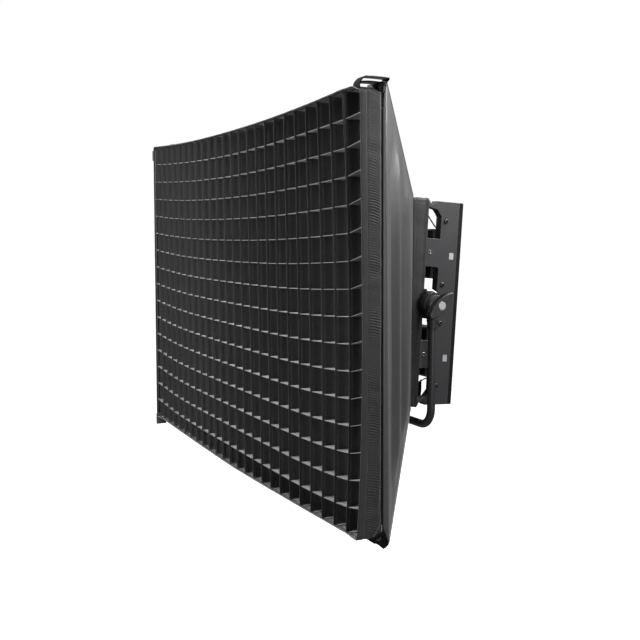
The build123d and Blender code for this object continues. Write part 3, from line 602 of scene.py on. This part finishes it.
def slats(name, along_x, body_material, hem_painted_tone, replaced):
    """All the slats one way, each a closed ribbon with a sewn front hem."""
    count = ROWS if along_x else COLUMNS
    half = GRID_W if along_x else GRID_H
    cells = COLUMNS if along_x else ROWS
    section = np.array(slat_section(GRID_DEPTH - 3 * MM, HEM_HALF * (0.6 if along_x else 1.0)))
    section[:, 0] += ACROSS_BACK * along_x * (1 - section[:, 0] / GRID_DEPTH)
    stations = np.linspace(-half + 1.2 * MM, half - 1.2 * MM, cells * 6 + 1)
    parts, uvs = [], []
    for i in range(1, count):
        at = (i - count / 2) * CELL
        loose = wander(100 * along_x + i, 5, stations / CELL * math.pi, 0.55)
        cell_wave = np.abs(np.sin(math.pi * (stations + half) / CELL))
        shift = (0.55 * loose + 0.25) * cell_wave * 1.3 * MM
        length, depth = np.meshgrid(stations, section[:, 0], indexing="ij")
        lift = np.broadcast_to(section[:, 1], length.shape)
        swell = smooth(depth, HEM_DEPTH, GRID_DEPTH * 0.5) * shift[:, None]
        if along_x:
            points = grid_place(length, depth, np.full_like(length, at))
            points[..., 2] += lift + swell * 0.8
        else:
            points = grid_place(np.full_like(length, at), depth, length)
            points[..., 0] += lift + swell * 0.9
        parts.append((points.reshape(-1, 3), closed_faces(*length.shape, flip=True)))
        uvs.append(stacked(length, depth + lift).reshape(-1, 2))
    piece = make_piece(name, *merge(parts), body_material, np.concatenate(uvs), "grid_cloth", replaced)
    # the second material is a painted tone on the slats' fronts: painted light on the level slats' front
    # strip, painted shade on the upright slats' rounded front
    piece.data.materials.append(hem_painted_tone)
    columns = len(section)
    painted_tone_end = HEM_DEPTH + ACROSS_BACK if along_x else 1.5 * MM
    painted_tone_columns = [k for k in range(columns) if max(section[k, 0], section[(k + 1) % columns, 0]) <= painted_tone_end]
    for face in piece.data.polygons:
        places = [v % columns for v in face.vertices]
        if len(places) == 4 and min(places) in painted_tone_columns and max(places) < columns - 1:
            face.material_index = 1


# ---- grid band ----
# Signs of x and z, going round from the upper right corner.
CORNER_SIGNS = [(1, 1), (-1, 1), (-1, -1), (1, -1)]


def rounded_loop(half_w, half_h, radius, step):
    """Points (x, z) and outward normals round a rounded rectangle, evenly about step apart."""
    middles = [np.array((sx * (half_w - radius), sz * (half_h - radius))) for sx, sz in CORNER_SIGNS]
    arc_steps = max(3, int(radius * math.pi / 2 / step))
    points, normals = [], []
    for i, middle in enumerate(middles):
        for turn in np.radians(np.linspace(90 * i, 90 * i + 90, arc_steps, endpoint=False)):
            normals.append(np.array((math.cos(turn), math.sin(turn))))
            points.append(middle + radius * normals[-1])
        turn = math.radians(90 * i + 90)
        n = np.array((math.cos(turn), math.sin(turn)))
        start, end = middle + radius * n, middles[(i + 1) % 4] + radius * n
        for t in np.linspace(0, 1, int(np.linalg.norm(end - start) / step), endpoint=False):
            points.append(start + (end - start) * t)
            normals.append(n)
    return np.array(points), np.array(normals)


CORNER_DIP = 8 * MM  # how far the band's upper right corner is cut down
PUCKER = 4.4 * MM  # spacing of the band's gathers
SEAM_RING = 7  # the band's eighth ring of points, 12.6 mm back, lies in its hem seam


def band_back(up):
    """The band's rear edge at up = -1 to 1 from the lower to the upper run."""
    return GRID_BACK + (3.0 - 3.5 * up) * MM


def corner_dip(x, z):
    """How far the band is cut down under the standing loop, at its upper right corner."""
    return CORNER_DIP * smooth(x, GRID_W - 24 * MM, GRID_W) * smooth(z, GRID_H - 55 * MM, GRID_H)


def band_drop(around):
    """How far the band hangs down at points (x, z) round it; its sides stay straight."""
    on_run = smooth(np.abs(around[:, 1]), GRID_H - 30 * MM, GRID_H)
    return edge_drop(np.clip(around[:, 0] / GRID_W, -1, 1), around[:, 1] > 0) * on_run


def grid_band_cloth():
    """The band round the grid: smooth front hem, sewn seam, then a gathered strip."""
    around, normals = rounded_loop(GRID_W, GRID_H, 5 * MM, 0.75 * MM)
    run = run_length(around, 0)
    depths = [0.0, 0.6, 2.0, 4.5, 7.5, 10.0, 11.6, 12.6, *np.linspace(13.8, 37.0, 17), 37.9, 38.6]
    hem = np.interp(depths, [0.0, 0.6, 2.0, 4.5, 10.0, 12.6, 37.0, 38.6],
                    [0.9, 1.3, 1.6, 1.7, 1.7, 1.6, 1.6, 0.7]) * MM
    depths = np.array(depths) * MM
    s, d = np.meshgrid(run, depths, indexing="ij")
    gather = smooth(d, 9.0 * MM, 20 * MM) * (1 - 0.35 * smooth(d, 33 * MM, 38 * MM))
    patches = 0.12 + 0.88 * smooth(wander(7, 9, run * 9.0, 0.9), -0.25, 0.55)[:, None]
    drift = wander(11, 6, run * 14.0, 0.8)[:, None]
    slant = 2 * math.pi * (d - 12 * MM) ** 2 / (96 * MM) / PUCKER
    down = np.where(around[:, 0] > 0, 1.0, -1.0)[:, None]  # the gathers arc down to the rear on both sides
    phase = down * slant * (1.0 + 0.8 * drift) + 5.0 * drift
    puckers = np.sin(2 * math.pi * (s / PUCKER) + phase)
    coarse = wander(19, 8, run * 36.0, 0.9)[:, None]
    ridges = np.sign(puckers) * np.abs(puckers) ** 0.8
    offset = hem[None, :] + gather * (0.85 * ridges * patches + 1.0 * coarse) * MM
    offset[:, SEAM_RING] -= 0.45 * MM
    dents = np.minimum(wander(29, 8, run * 30.0, 1.1), 0)[:, None]
    offset += (1 - gather) * (0.25 * wander(23, 9, run * 40.0, 0.8)[:, None] + 0.5 * dents) * MM
    cut = smooth(-(around[:, 1] + GRID_H - 24 * MM), 0, 24 * MM)[:, None] * smooth(d, 12 * MM, 38 * MM)
    at_side = (np.abs(around[:, 0]) > GRID_W - 40 * MM)[:, None]
    lean = (band_back(around[:, 1] / GRID_H) - GRID_BACK)[:, None] * d / GRID_DEPTH
    depth = d + lean - np.where(at_side, cut, 0.0) * 11 * MM
    x = around[:, 0][:, None] + normals[:, 0][:, None] * offset
    z = around[:, 1][:, None] + normals[:, 1][:, None] * offset
    points = grid_place(x, depth, z)
    points[..., 2] = GRID_Z + z - (band_drop(around) + corner_dip(around[:, 0], around[:, 1]))[:, None]
    sheet("grid_band_cloth", points, CLOTH["band"], 1.1 * MM, "grid_cloth", "grid_band")


def hem_rods():
    """The thin rods in the band's front hem, bent to the hem's sag."""
    radius, depth, short = 1.4 * MM, 5 * MM, 8 * MM
    xs = np.linspace(-GRID_W + short, GRID_W - short, 61)
    zs = np.linspace(-GRID_H + short, GRID_H - short, 41)
    parts = []
    for side in (1, -1):
        line = grid_place(xs, depth, side * GRID_H)
        line[:, 2] -= corner_dip(xs, side * GRID_H)
        parts.append(tube(line, radius))
    for side in (1, -1):
        line = grid_place(side * GRID_W, depth, zs)
        line[:, 2] = GRID_Z + zs - corner_dip(side * GRID_W, zs)
        parts.append(tube(line, radius))
    make_piece("grid_hem_rods", *merge(parts), HARD["rod"], None, "rod", "grid_rods")


# ---- the bag ----
BAG_ROWS = 54


def sleeve_loop(back_y):
    """Half width, lowest and highest z of the lamp sleeve's level cut, from the tilt axis."""
    rise = -back_y * math.tan(LEAN)
    reach = (HEAD_HALF[1] + SLEEVE_GAP) / math.cos(LEAN)
    return HEAD_HALF[0] + SLEEVE_GAP, rise - reach, rise + reach


RIM_SAG, RIM_LIFT = 21 * MM, 9 * MM  # the rim's middle below its corners, above; and above them, below
RIM_FRONT, RIM_FRONT_LEAN = BAG_FRONT - 3.0 * MM, 4.5 * MM  # the rod pocket's front edge, and its lean
RIM_BACK, RIM_BACK_LEAN = BAG_FRONT + 6.0 * MM, 7.0 * MM  # where the pocket ends and the panels slope in
CORNER_TRIM = 10 * MM  # how far the pocket's front edge is cut back at the lower corners


def rim_place(x, z):
    """The rim's height at x, for z = -1 to 1 from its lower to its upper run."""
    bow = 1 - np.abs(x / BAG_HALF[0]) ** 2.2
    bend = np.where(z > 0, -RIM_SAG, RIM_LIFT) * bow * np.abs(z) ** 8
    return BAG_Z + z * BAG_HALF[1] + bend


def rim_front(up):
    """The rod pocket's front edge at up = -1 to 1 from the lower to the upper run."""
    trim = CORNER_TRIM * smooth(-np.asarray(up, float), 0.91, 1.0)
    return RIM_FRONT - RIM_FRONT_LEAN * up + trim


def rim_back(up):
    return RIM_BACK - RIM_BACK_LEAN * up


def bag_corners():
    """Front and back corner points, going round from upper right: +X +Z, -X +Z, -X -Z, +X -Z."""
    half_w, low, high = sleeve_loop(BAG_BACK)
    front, back = [], []
    for sx, sz in CORNER_SIGNS:
        front.append(Vector((sx * BAG_HALF[0], float(rim_back(sz)), BAG_Z + sz * BAG_HALF[1])))
        back.append(Vector((sx * half_w, BAG_BACK, TILT_Z + (high if sz > 0 else low))))
    return front, back


def side_folds(up, back):
    """Long soft folds of a side panel, which run down from the upper front corner. In millimetres."""
    wave = 0.02 * np.sin(up * 7.0 + 0.8)
    folds = [(12.0, 0.31 + wave, 0.045), (-9.5, 0.19 + wave, 0.045), (-13.0, 0.46 + wave, 0.065),
             (13.0, 0.68 - 0.5 * wave, 0.075), (-6.5, 0.88, 0.05), (3.5, 0.08 - wave, 0.03),
             (-4.5, 0.57 + wave, 0.03)]
    total = sum(size * np.exp(-((back - place) / width) ** 2) for size, place, width in folds)
    return total * (0.6 + 0.4 * np.sin(up * math.pi)) * smooth(up, 0.0, 0.15) * smooth(1 - up, 0.0, 0.15)


def flat_folds(across, back, seed):
    """Broad slack of the upper and lower panels. In millimetres."""
    slack = -7.0 * np.sin(across * math.pi) ** 0.8 * np.sin(back * math.pi) ** 0.9
    ripple = 2.6 * wander(seed, 5, across * 9.0, 1.0) * np.sin(back * math.pi) * np.sin(across * math.pi)
    return slack + ripple


def bag_points(folded):
    """The bag's cloth, folded from 0 to 1, as a closed ring of columns, and which columns are seams."""
    front, back = bag_corners()
    counts = [88, 60, 88, 60]  # columns of the upper, left, lower and right panels
    columns, held = [], []
    t = np.linspace(0, 1, BAG_ROWS + 1)
    for side in range(4):
        a, b = side, (side + 1) % 4
        face_normal = (front[b] - front[a]).cross(back[a] - front[a]).normalized()
        if face_normal.dot(Vector((front[a].x + front[b].x, 0, front[a].z + front[b].z - 2 * TILT_Z))) < 0:
            face_normal = -face_normal
        for i in range(counts[side]):
            s = i / counts[side]
            top, end = front[a].lerp(front[b], s), back[a].lerp(back[b], s)
            top.z = float(rim_place(top.x, (top.z - BAG_Z) / BAG_HALF[1]))
            line = np.array([top.lerp(end, k) for k in t])
            if side in (1, 3):
                up = 1 - s if side == 1 else s
                fold = side_folds(np.full_like(t, up), t) * folded
            else:
                fold = flat_folds(np.full_like(t, s), t, 31 + side) * folded
            fold = fold * min(1.0, s * 12, (1 - s) * 12)
            fold = fold * np.sin(np.clip(t, 0, 1) * math.pi) ** 0.25
            fold[[0, -1]] = 0
            line += np.array(face_normal)[None, :] * fold[:, None] * MM
            columns.append(line)
            held.append(i == 0)
    return np.array(columns), held


def get_points(mesh):
    points = np.zeros(len(mesh.vertices) * 3, np.float32)
    mesh.vertices.foreach_get("co", points)
    return points.reshape(-1, 3)


def set_points(mesh, points):
    mesh.vertices.foreach_set("co", points.astype(np.float32).ravel())
    mesh.update()


CLOTH_SETTINGS = {
    "vertex_group_mass": "held", "quality": 6, "mass": 0.12, "tension_stiffness": 40,
    "compression_stiffness": 12, "shear_stiffness": 12, "bending_stiffness": 1.2, "tension_damping": 12,
    "air_damping": 4,
}
MOST_SAG = 12 * MM  # no point of the bag settles further than this


def settle_cloth(piece, held, frames=14):
    """Lets the bag's cloth settle under its own weight between the seams that hold it."""
    group = piece.vertex_groups.new(name="held")
    group.add(held, 1.0, "REPLACE")
    cloth = piece.modifiers.new("settle", "CLOTH")
    for key, value in CLOTH_SETTINGS.items():
        setattr(cloth.settings, key, value)
    cloth.collision_settings.use_collision = False
    cloth.point_cache.frame_start = 1
    cloth.point_cache.frame_end = frames + 1
    for number in range(1, frames + 1):
        bpy.context.scene.frame_set(number)
    settled = piece.evaluated_get(bpy.context.evaluated_depsgraph_get()).to_mesh()
    start = get_points(piece.data)
    move = get_points(settled) - start
    size = np.linalg.norm(move, axis=1, keepdims=True)
    piece.modifiers.remove(cloth)
    piece.vertex_groups.remove(group)
    set_points(piece.data, start + move * np.minimum(1.0, MOST_SAG / np.maximum(size, 1e-9)))
    bpy.context.scene.frame_set(1)


def bag_cloth():
    """The bag's cloth, silver inside: settled flat panels, with their folds added after."""
    points, seams = bag_points(0.0)
    folds = (bag_points(1.0)[0] - points).reshape(-1, 3)
    columns, rows = points.shape[:2]
    piece = sheet("bag_cloth", points, CLOTH["bag"], 0.0, "bag_cloth", "bag_shell")
    held = [c * rows + r for c in range(columns) for r in range(rows) if seams[c] or r in (0, rows - 1)]
    settle_cloth(piece, held)
    set_points(piece.data, get_points(piece.data) + folds)
    thicken(piece, 1.0 * MM, -1.0).material_offset = 1
    piece.data.materials.append(CLOTH["lining"])


def bag_seams():
    """Piping along the four corner seams."""
    front, back = bag_corners()
    parts = []
    for a, b in zip(front, back):
        out = Vector((a.x, 0, a.z - TILT_Z)).normalized() * -0.2 * MM
        line = [a.lerp(b, t) + out for t in np.linspace(0.01, 0.985, 60)]
        parts.append(tube(line, 1.0 * MM))
    make_piece("bag_seam_piping", *merge(parts), CLOTH["rim"], None, "bag_cloth")


def bag_rim():
    """The rod pocket round the bag's front edge: a flat folded hem, trimmed at the lower corners."""
    around, normals = rounded_loop(BAG_HALF[0] - 0.5 * MM, BAG_HALF[1] - 0.5 * MM, 4 * MM, 4 * MM)
    section = [(0.0, -0.2), (0.02, 0.6), (0.08, 1.1), (0.3, 1.4), (0.6, 1.4), (0.85, 1.2), (0.96, 0.8),
               (1.04, 0.1), (1.0, -0.9), (0.8, -1.4), (0.3, -1.6), (0.03, -1.1)]
    run = run_length(around, 0)
    ripple = 0.5 * wander(41, 10, run * 55.0, 0.8) * MM
    up = around[:, 1] / BAG_HALF[1]
    front, back = rim_front(up), rim_back(up)
    points = np.zeros((len(around), len(section), 3))
    for k, (share, out) in enumerate(section):
        soft = out * MM + ripple * 4 * share * (1 - share)
        points[:, k, 0] = around[:, 0] + normals[:, 0] * soft
        points[:, k, 1] = front + (back - front) * share
        points[:, k, 2] = rim_place(around[:, 0], up) + normals[:, 1] * soft
    faces = grid_faces(len(around), len(section), wrap_rows=True, wrap_columns=True)
    depth = np.array([share for share, _ in section]) * 18 * MM
    uvs = stacked(run[:, None], depth[None, :]).reshape(-1, 2)
    make_piece("bag_rim_pocket", points.reshape(-1, 3), faces, CLOTH["rim"], uvs, "bag_cloth")


def sheet_rows(points, keep):
    """The runs of rows that are kept, from a closed loop of rows."""
    first = int(np.argmin(keep))  # a row that isn't kept, so no run crosses the start
    order = np.roll(np.arange(len(keep)), -first)
    runs, run = [], []
    for i in order:
        if keep[i]:
            run.append(i)
        elif run:
            runs.append(points[run])
            run = []
    if run:
        runs.append(points[run])
    return [run for run in runs if len(run) > 1]


def fastening_tape():
    """The dark hook-and-loop tape between the band and the bag's rim; it stops at the lower corners."""
    around, _ = rounded_loop(BAG_HALF[0] - 2.2 * MM, GRID_H - 2.2 * MM, 4 * MM, 5 * MM)
    up = around[:, 1] / GRID_H
    front, back = band_back(up) - 5 * MM, rim_front(up) + 5 * MM
    share = np.linspace(0.0, 1.0, 5)
    points = np.zeros((len(around), len(share), 3))
    points[..., 0] = around[:, 0][:, None]
    points[..., 1] = front[:, None] + (back - front)[:, None] * share[None, :]
    on_run = smooth(np.abs(around[:, 1]), GRID_H - 30 * MM, GRID_H)
    at_grid = GRID_Z + around[:, 1] - band_drop(around)
    at_rim = rim_place(around[:, 0], up) - np.sign(around[:, 1]) * on_run * 12 * MM
    points[..., 2] = at_grid[:, None] * (1 - share[None, :]) + at_rim[:, None] * share[None, :]
    low_corner = (np.abs(around[:, 0]) > GRID_W - 120 * MM) & (around[:, 1] < -GRID_H + 22 * MM)
    rows = sheet_rows(points, ~low_corner)
    parts = [(row.reshape(-1, 3), grid_faces(*row.shape[:2])) for row in rows]
    uvs = np.concatenate([cloth_uvs(row) for row in rows])
    thicken(make_piece("fastening_tape", *merge(parts), CLOTH["tape"], uvs, "webbing"), 0.6 * MM)


# ---- the sleeve round the lamp ----
def sleeve():
    """The sleeve that grips the lamp, with loose wrinkles and an elastic rear hem."""
    around, normals = rounded_loop(HEAD_HALF[0] + SLEEVE_GAP, HEAD_HALF[1] + SLEEVE_GAP, 3 * MM, 3 * MM)
    run = run_length(around, 0)
    share = [0.0, 0.03, 0.08, 0.16, 0.26, 0.36, 0.46, 0.56, 0.66, 0.76, 0.84, 0.90, 0.95, 0.985, 1.0]
    swell = [0.2, 1.0, 0.5, 0.9, 1.3, 1.5, 1.5, 1.4, 1.1, 0.8, 1.0, 1.9, 2.1, 1.7, 0.4]  # in millimetres
    hem_start = 0.85
    loose = wander(53, 8, run * 24.0, 0.8)
    fine = wander(59, 9, run * 160.0, 0.6)
    points = np.zeros((len(around), len(share), 3))
    z = around[:, 1]
    front_y = (BAG_BACK - z * math.sin(LEAN)) / math.cos(LEAN)
    for k, (t, out) in enumerate(zip(share, swell)):
        soft = out + np.sin(t * math.pi) * (1.1 * loose + 0.3 * fine)
        soft = (soft + 0.3 * fine * (t > hem_start)) * MM
        local_y = front_y + (SLEEVE_REAR - front_y) * t
        points[:, k] = on_head(around[:, 0] + normals[:, 0] * soft, local_y, z + normals[:, 1] * soft)
    sheet("sleeve_cloth", points, CLOTH["sleeve"], 1.2 * MM, "bag_cloth", "bag_collar")


def sleeve_tabs():
    """Webbing corners of the sleeve, seen through the outer cut-outs, with an eyelet in the lower ones."""
    x_in = HEAD_HALF[0] - 20 * MM
    parts = []
    for sx in (1, -1):
        for sz, tip in ((-1, 16.0), (1, 3.0)):
            u, v = np.meshgrid(np.linspace(0, 1, 14), np.linspace(0, 1, 14), indexing="ij")
            top = 169 + (152 - 169) * u if sz < 0 else 183 + 5 * u
            bottom = np.full_like(u, 197.0)
            y = (-7 + (7 + tip) * u) * MM
            z = sz * (top + (bottom - top) * v) * MM
            crumple = 0.9 * MM * np.sin(u * 5 + v * 7)
            points = on_head(sx * (x_in + crumple), y, z)
            parts.append((points.reshape(-1, 3), grid_faces(14, 14)))
    thicken(make_piece("sleeve_tabs", *merge(parts), CLOTH["webbing"], None, "webbing"), 1.4 * MM)


def ring(centre, axis, radius, wire, steps=20, sides=8):
    """A closed wire ring."""
    axis = Vector(axis).normalized()
    side = axis.orthogonal().normalized()
    up = axis.cross(side)
    points = []
    for i in range(steps):
        a = 2 * math.pi * i / steps
        out = math.cos(a) * side + math.sin(a) * up
        for k in range(sides):
            b = 2 * math.pi * k / sides
            points.append(Vector(centre) + out * (radius + wire * math.cos(b)) + axis * wire * math.sin(b))
    return points, grid_faces(steps, sides, wrap_rows=True, wrap_columns=True)


def tab_eyelets():
    parts = []
    for sx in (1, -1):
        centre = on_head(sx * (HEAD_HALF[0] - 18.8 * MM), 4 * MM, -178 * MM)
        parts.append(ring(centre, (1, 0, 0), 2.4 * MM, 0.9 * MM))
    make_piece("tab_eyelets", *merge(parts), HARD["bright"], None, "bright_steel")


def cords():
    """Elastic cords from the sleeve's corners to the rear cases, ending in small knots."""
    parts = []
    x = HEAD_HALF[0] - 22 * MM
    upper = [(-6, 187), (6, 175), (18, 161), (29, 149.8), (38, 148.8)]
    lower = [(-6, -166), (4, -162), (14, -156.5), (25, -151), (36, -148.8)]
    for line in (upper, lower):
        for sx in (1, -1):
            path = [tuple(on_head(sx * x, y * MM, z * MM)) for y, z in line]
            parts.append(tube(curve_through(path, 8), 1.35 * MM))
            knot = [Vector(path[-1]) + Vector((0, d * MM, 0)) for d in (-1, 1, 3, 4.5)]
            parts.append(tube(knot, 2.4 * MM))
    make_piece("elastic_cords", *merge(parts), CLOTH["cord"], None, "elastic", "bag_cords")


# ---- webbing at the grid's corners ----
# A strap's section, in half widths and half thicknesses.
STRAP_SECTION = [(-1, -0.6), (-0.96, -1), (0.96, -1), (1, -0.6), (1, 0.6), (0.96, 1), (-0.96, 1), (-1, 0.6)]


def strap(line, width, across, thick):
    """A flat strap along a smooth line through a few points, width wide in the across direction."""
    across = Vector(across).normalized() * width / 2
    points = []
    for i, p in enumerate(line):
        up = heading(line, i).cross(across).normalized() * thick / 2
        points += [p + across * a + up * b for a, b in STRAP_SECTION]
    return points, closed_faces(len(line), len(STRAP_SECTION))


def loop_line(x, points, steps=8):
    """A smooth line at x, through (y, z) in millimetres from the band's front and upper edge."""
    top = GRID_Z + GRID_H
    return curve_through([(x, GRID_FRONT + y * MM, top + z * MM) for y, z in points], steps)


def corner_loops():
    """The standing webbing loop on the upper right corner."""
    width, along_x = 22 * MM, (1, 0, 0)
    x = GRID_W - width / 2 + 0.5 * MM
    post = loop_line(x, [(1, -7), (0.2, 0), (1.5, 5), (7, 11.5), (13, 14.5)], 6)
    rear = loop_line(x, [(54, 14.5), (53.5, 11.5), (49, 6.5)], 6)
    strut = loop_line(x, [(35, 5.2), (37, -1), (37, -8)], 6)
    upper = [(12, 14.2), (26, 14.9), (54, 14.7)]
    lower = [(2, 5), (20, 6.4), (49, 6)]
    thick = (1.6 * MM, 1.6 * MM, 1.8 * MM)
    black = [strap(line, width, along_x, t) for line, t in zip((post, rear, strut), thick)]
    edge = [tube(loop_line(x + side * width / 2, lower), 0.9 * MM) for side in (-1, 1)]
    pale = [strap(loop_line(x, rail), width, along_x, 1.2 * MM) for rail in (upper, lower)]
    make_piece("corner_loop_posts", *merge(black + edge), CLOTH["webbing"], None, "webbing")
    make_piece("corner_loop_rails", *merge(pale), CLOTH["rail"], None, "pale_webbing")


def corner_tabs():
    """A tab that hangs from the lower left corner, and one folded down at the upper left."""
    side, y = 28 * MM, GRID_FRONT + 12 * MM
    hanging = (-GRID_H, [(1.0, 6), (0.2, -8), (1.0, -24)])
    folded = (GRID_H, [(-3.6, -8), (-4.8, -22), (-3.6, -35)])
    tabs = []
    for edge, points in (hanging, folded):
        line = curve_through([(x * MM - GRID_W, y, GRID_Z + edge + z * MM) for x, z in points], 8)
        tabs.append(strap(line, side, (0, 1, 0), 2.2 * MM))
    make_piece("corner_tabs", *merge(tabs), CLOTH["loop"], None, "pale_webbing", "corner_loops")


def patch_of(outline, x, side, rings=5):
    """A flat cloth patch filling an outline of (y, z) points at x, slightly domed, facing side (1 or -1)."""
    n = len(outline)
    middle = (sum(p[0] for p in outline) / n, sum(p[1] for p in outline) / n)
    points = []
    for r in range(rings):
        shrink = 1 - r / rings
        for y, z in outline:
            out = 0.8 * MM * math.sin(r * 1.4)
            points.append((x + side * out, *(m + (p - m) * shrink for m, p in zip(middle, (y, z)))))
    faces = grid_faces(rings, n, wrap_columns=True)
    points.append((x, *middle))
    faces += [((rings - 1) * n + k, (rings - 1) * n + (k + 1) % n, rings * n) for k in range(n)]
    return points, faces


def outline(edges, z, points):
    """Points (y, z) from rows of which edge, and the millimetres from it and from z."""
    return [(float(edges[edge]) + dy * MM, z + dz * MM) for edge, dy, dz in points]


def corner_gussets():
    """Black webbing from the grid band's corners to the bag's rim: hanging flaps below, patches above."""
    flap = outline((band_back(-1), rim_back(-1)), BAG_Z - BAG_HALF[1], [
        (0, -21, 13.5), (0, -1, -0.5), (1, -10.5, -7.5), (1, -5.5, -6),
        (1, 0.5, -1), (1, -3, 12), (1, -8, 24), (0, -4, 20)])
    patch = outline((band_back(1), rim_front(1)), GRID_Z + GRID_H, [
        (0, -7, 4), (0, 9, 6.5), (1, 7, 3), (1, 3, -11),
        (1, 1, -32), (0, 1.5, -30), (0, -3, -14), (0, -5, -5)])
    parts = [patch_of(shape, sx * (BAG_HALF[0] - inside * MM), sx)
             for sx in (1, -1) for shape, inside in ((flap, 1.6), (patch, 0.4))]
    points, faces = merge(parts)
    uvs = np.array([p[1:] for p in points])
    name = "corner_gusset_webbing"
    thicken(make_piece(name, points, faces, CLOTH["webbing"], uvs, "webbing", "corner_gussets"), 1.6 * MM)


# ---- diffuser ----
def diffuser():
    u, v = np.meshgrid(np.linspace(-1, 1, 61), np.linspace(-1, 1, 41), indexing="ij")
    belly = 10 * MM * (1 - u ** 2) * (1 - v ** 2)
    x = u * (BAG_HALF[0] - 3 * MM)
    z = rim_place(x, v) - v * 4 * MM
    points = stacked(x, BAG_FRONT + 0.4 * MM + belly, z)
    sheet("diffuser_cloth", points, CLOTH["white"], 0.5 * MM, "diffusion_cloth", "front_diffuser", wrap=False)


# ---- stage ----
def floor():
    m = Material("pale_floor", (0.88, 0.88, 0.88), 0.9)
    m.vary(1.5, 0.01)
    m.set("Emission Color", (0.97, 0.97, 0.97, 1.0))
    seen = m.add("LightPath").outputs["Is Camera Ray"]
    m.set("Emission Strength", m.spread(seen, 0.0, 0.90))
    m.scale_colour(m.spread(seen, 0.16, 1.0))
    size, z = 60.0, -1.0
    mesh = bpy.data.meshes.new("floor")
    mesh.from_pydata([(sx * size, sy * size, z) for sx, sy in CORNER_SIGNS], [], [(0, 1, 2, 3)])
    mesh.materials.append(m.done(specular=0.1))
    add_object("floor", mesh)


def area_light(name, place, aim, size, power):
    light = bpy.data.lights.new(name, "AREA")
    light.shape = "RECTANGLE"
    light.size, light.size_y = size
    light.energy = power
    lamp = add_object(name, light)
    lamp.location = place
    lamp.rotation_euler = (Vector(aim) - Vector(place)).to_track_quat("-Z", "Y").to_euler()
    lamp.visible_camera = False


def studio():
    world = bpy.data.worlds.new("studio")
    bpy.context.scene.world = world
    world.use_nodes = True
    tree = world.node_tree
    shade = tree.nodes["Background"]
    seen = tree.nodes.new("ShaderNodeLightPath")
    choose = tree.nodes.new("ShaderNodeMapRange")
    choose.inputs["To Min"].default_value = 0.27
    choose.inputs["To Max"].default_value = 1.02
    tree.links.new(seen.outputs["Is Camera Ray"], choose.inputs["Value"])
    tree.links.new(choose.outputs[0], shade.inputs["Strength"])
    shade.inputs["Color"].default_value = (1, 1, 1, 1)
    middle = (0, -0.1, 0.3)
    area_light("key", (-1.0, -2.0, 3.1), middle, (1.8, 1.4), 230)
    area_light("upper_right", (0.67, 0.46, 0.93), (0.40, 0.0, 0.40), (0.45, 0.45), 14)
    area_light("right", (2.2, -0.24, 0.65), (0.45, -0.1, 0.20), (0.2, 1.2), 14)
    area_light("front", (0.15, -1.3, 0.70), (-0.25, GRID_FRONT, 0.3), (0.30, 0.9), 30)
    bpy.context.scene.view_settings.view_transform = "Standard"


def camera():
    """A view from the right front, a little above, looking 5 degrees down."""
    data = bpy.data.cameras.new("camera")
    data.lens, data.sensor_width = 50.54, 36.0
    data.clip_start, data.clip_end = 0.05, 60
    place = add_object("camera", data)
    front_centre = Vector((0, GRID_FRONT, TILT_Z + 7 * MM))
    from_front = Vector((1.8374, -0.6996, 0.1214))
    turned, down, rolled = math.radians(63.43), math.radians(5.273), math.radians(0.214)
    turn = Matrix.Rotation(turned, 4, "Z") @ Matrix.Rotation(math.pi / 2 - down, 4, "X")
    roll = Matrix.Rotation(rolled, 4, "Z")
    place.matrix_world = Matrix.Translation(front_centre + from_front) @ turn @ roll
    bpy.context.scene.camera = place


# ---- build ----
finish_cad_parts()
slats("grid_slats_across", True, CLOTH["level"], CLOTH["level_front_lit"], "grid_slats_horizontal")
slats("grid_slats_upright", False, CLOTH["slat"], CLOTH["hem"], "grid_slats_vertical")
grid_band_cloth()
hem_rods()
fastening_tape()
bag_cloth()
bag_seams()
bag_rim()
sleeve()
sleeve_tabs()
tab_eyelets()
cords()
corner_loops()
corner_tabs()
corner_gussets()
diffuser()
floor()
studio()
camera()
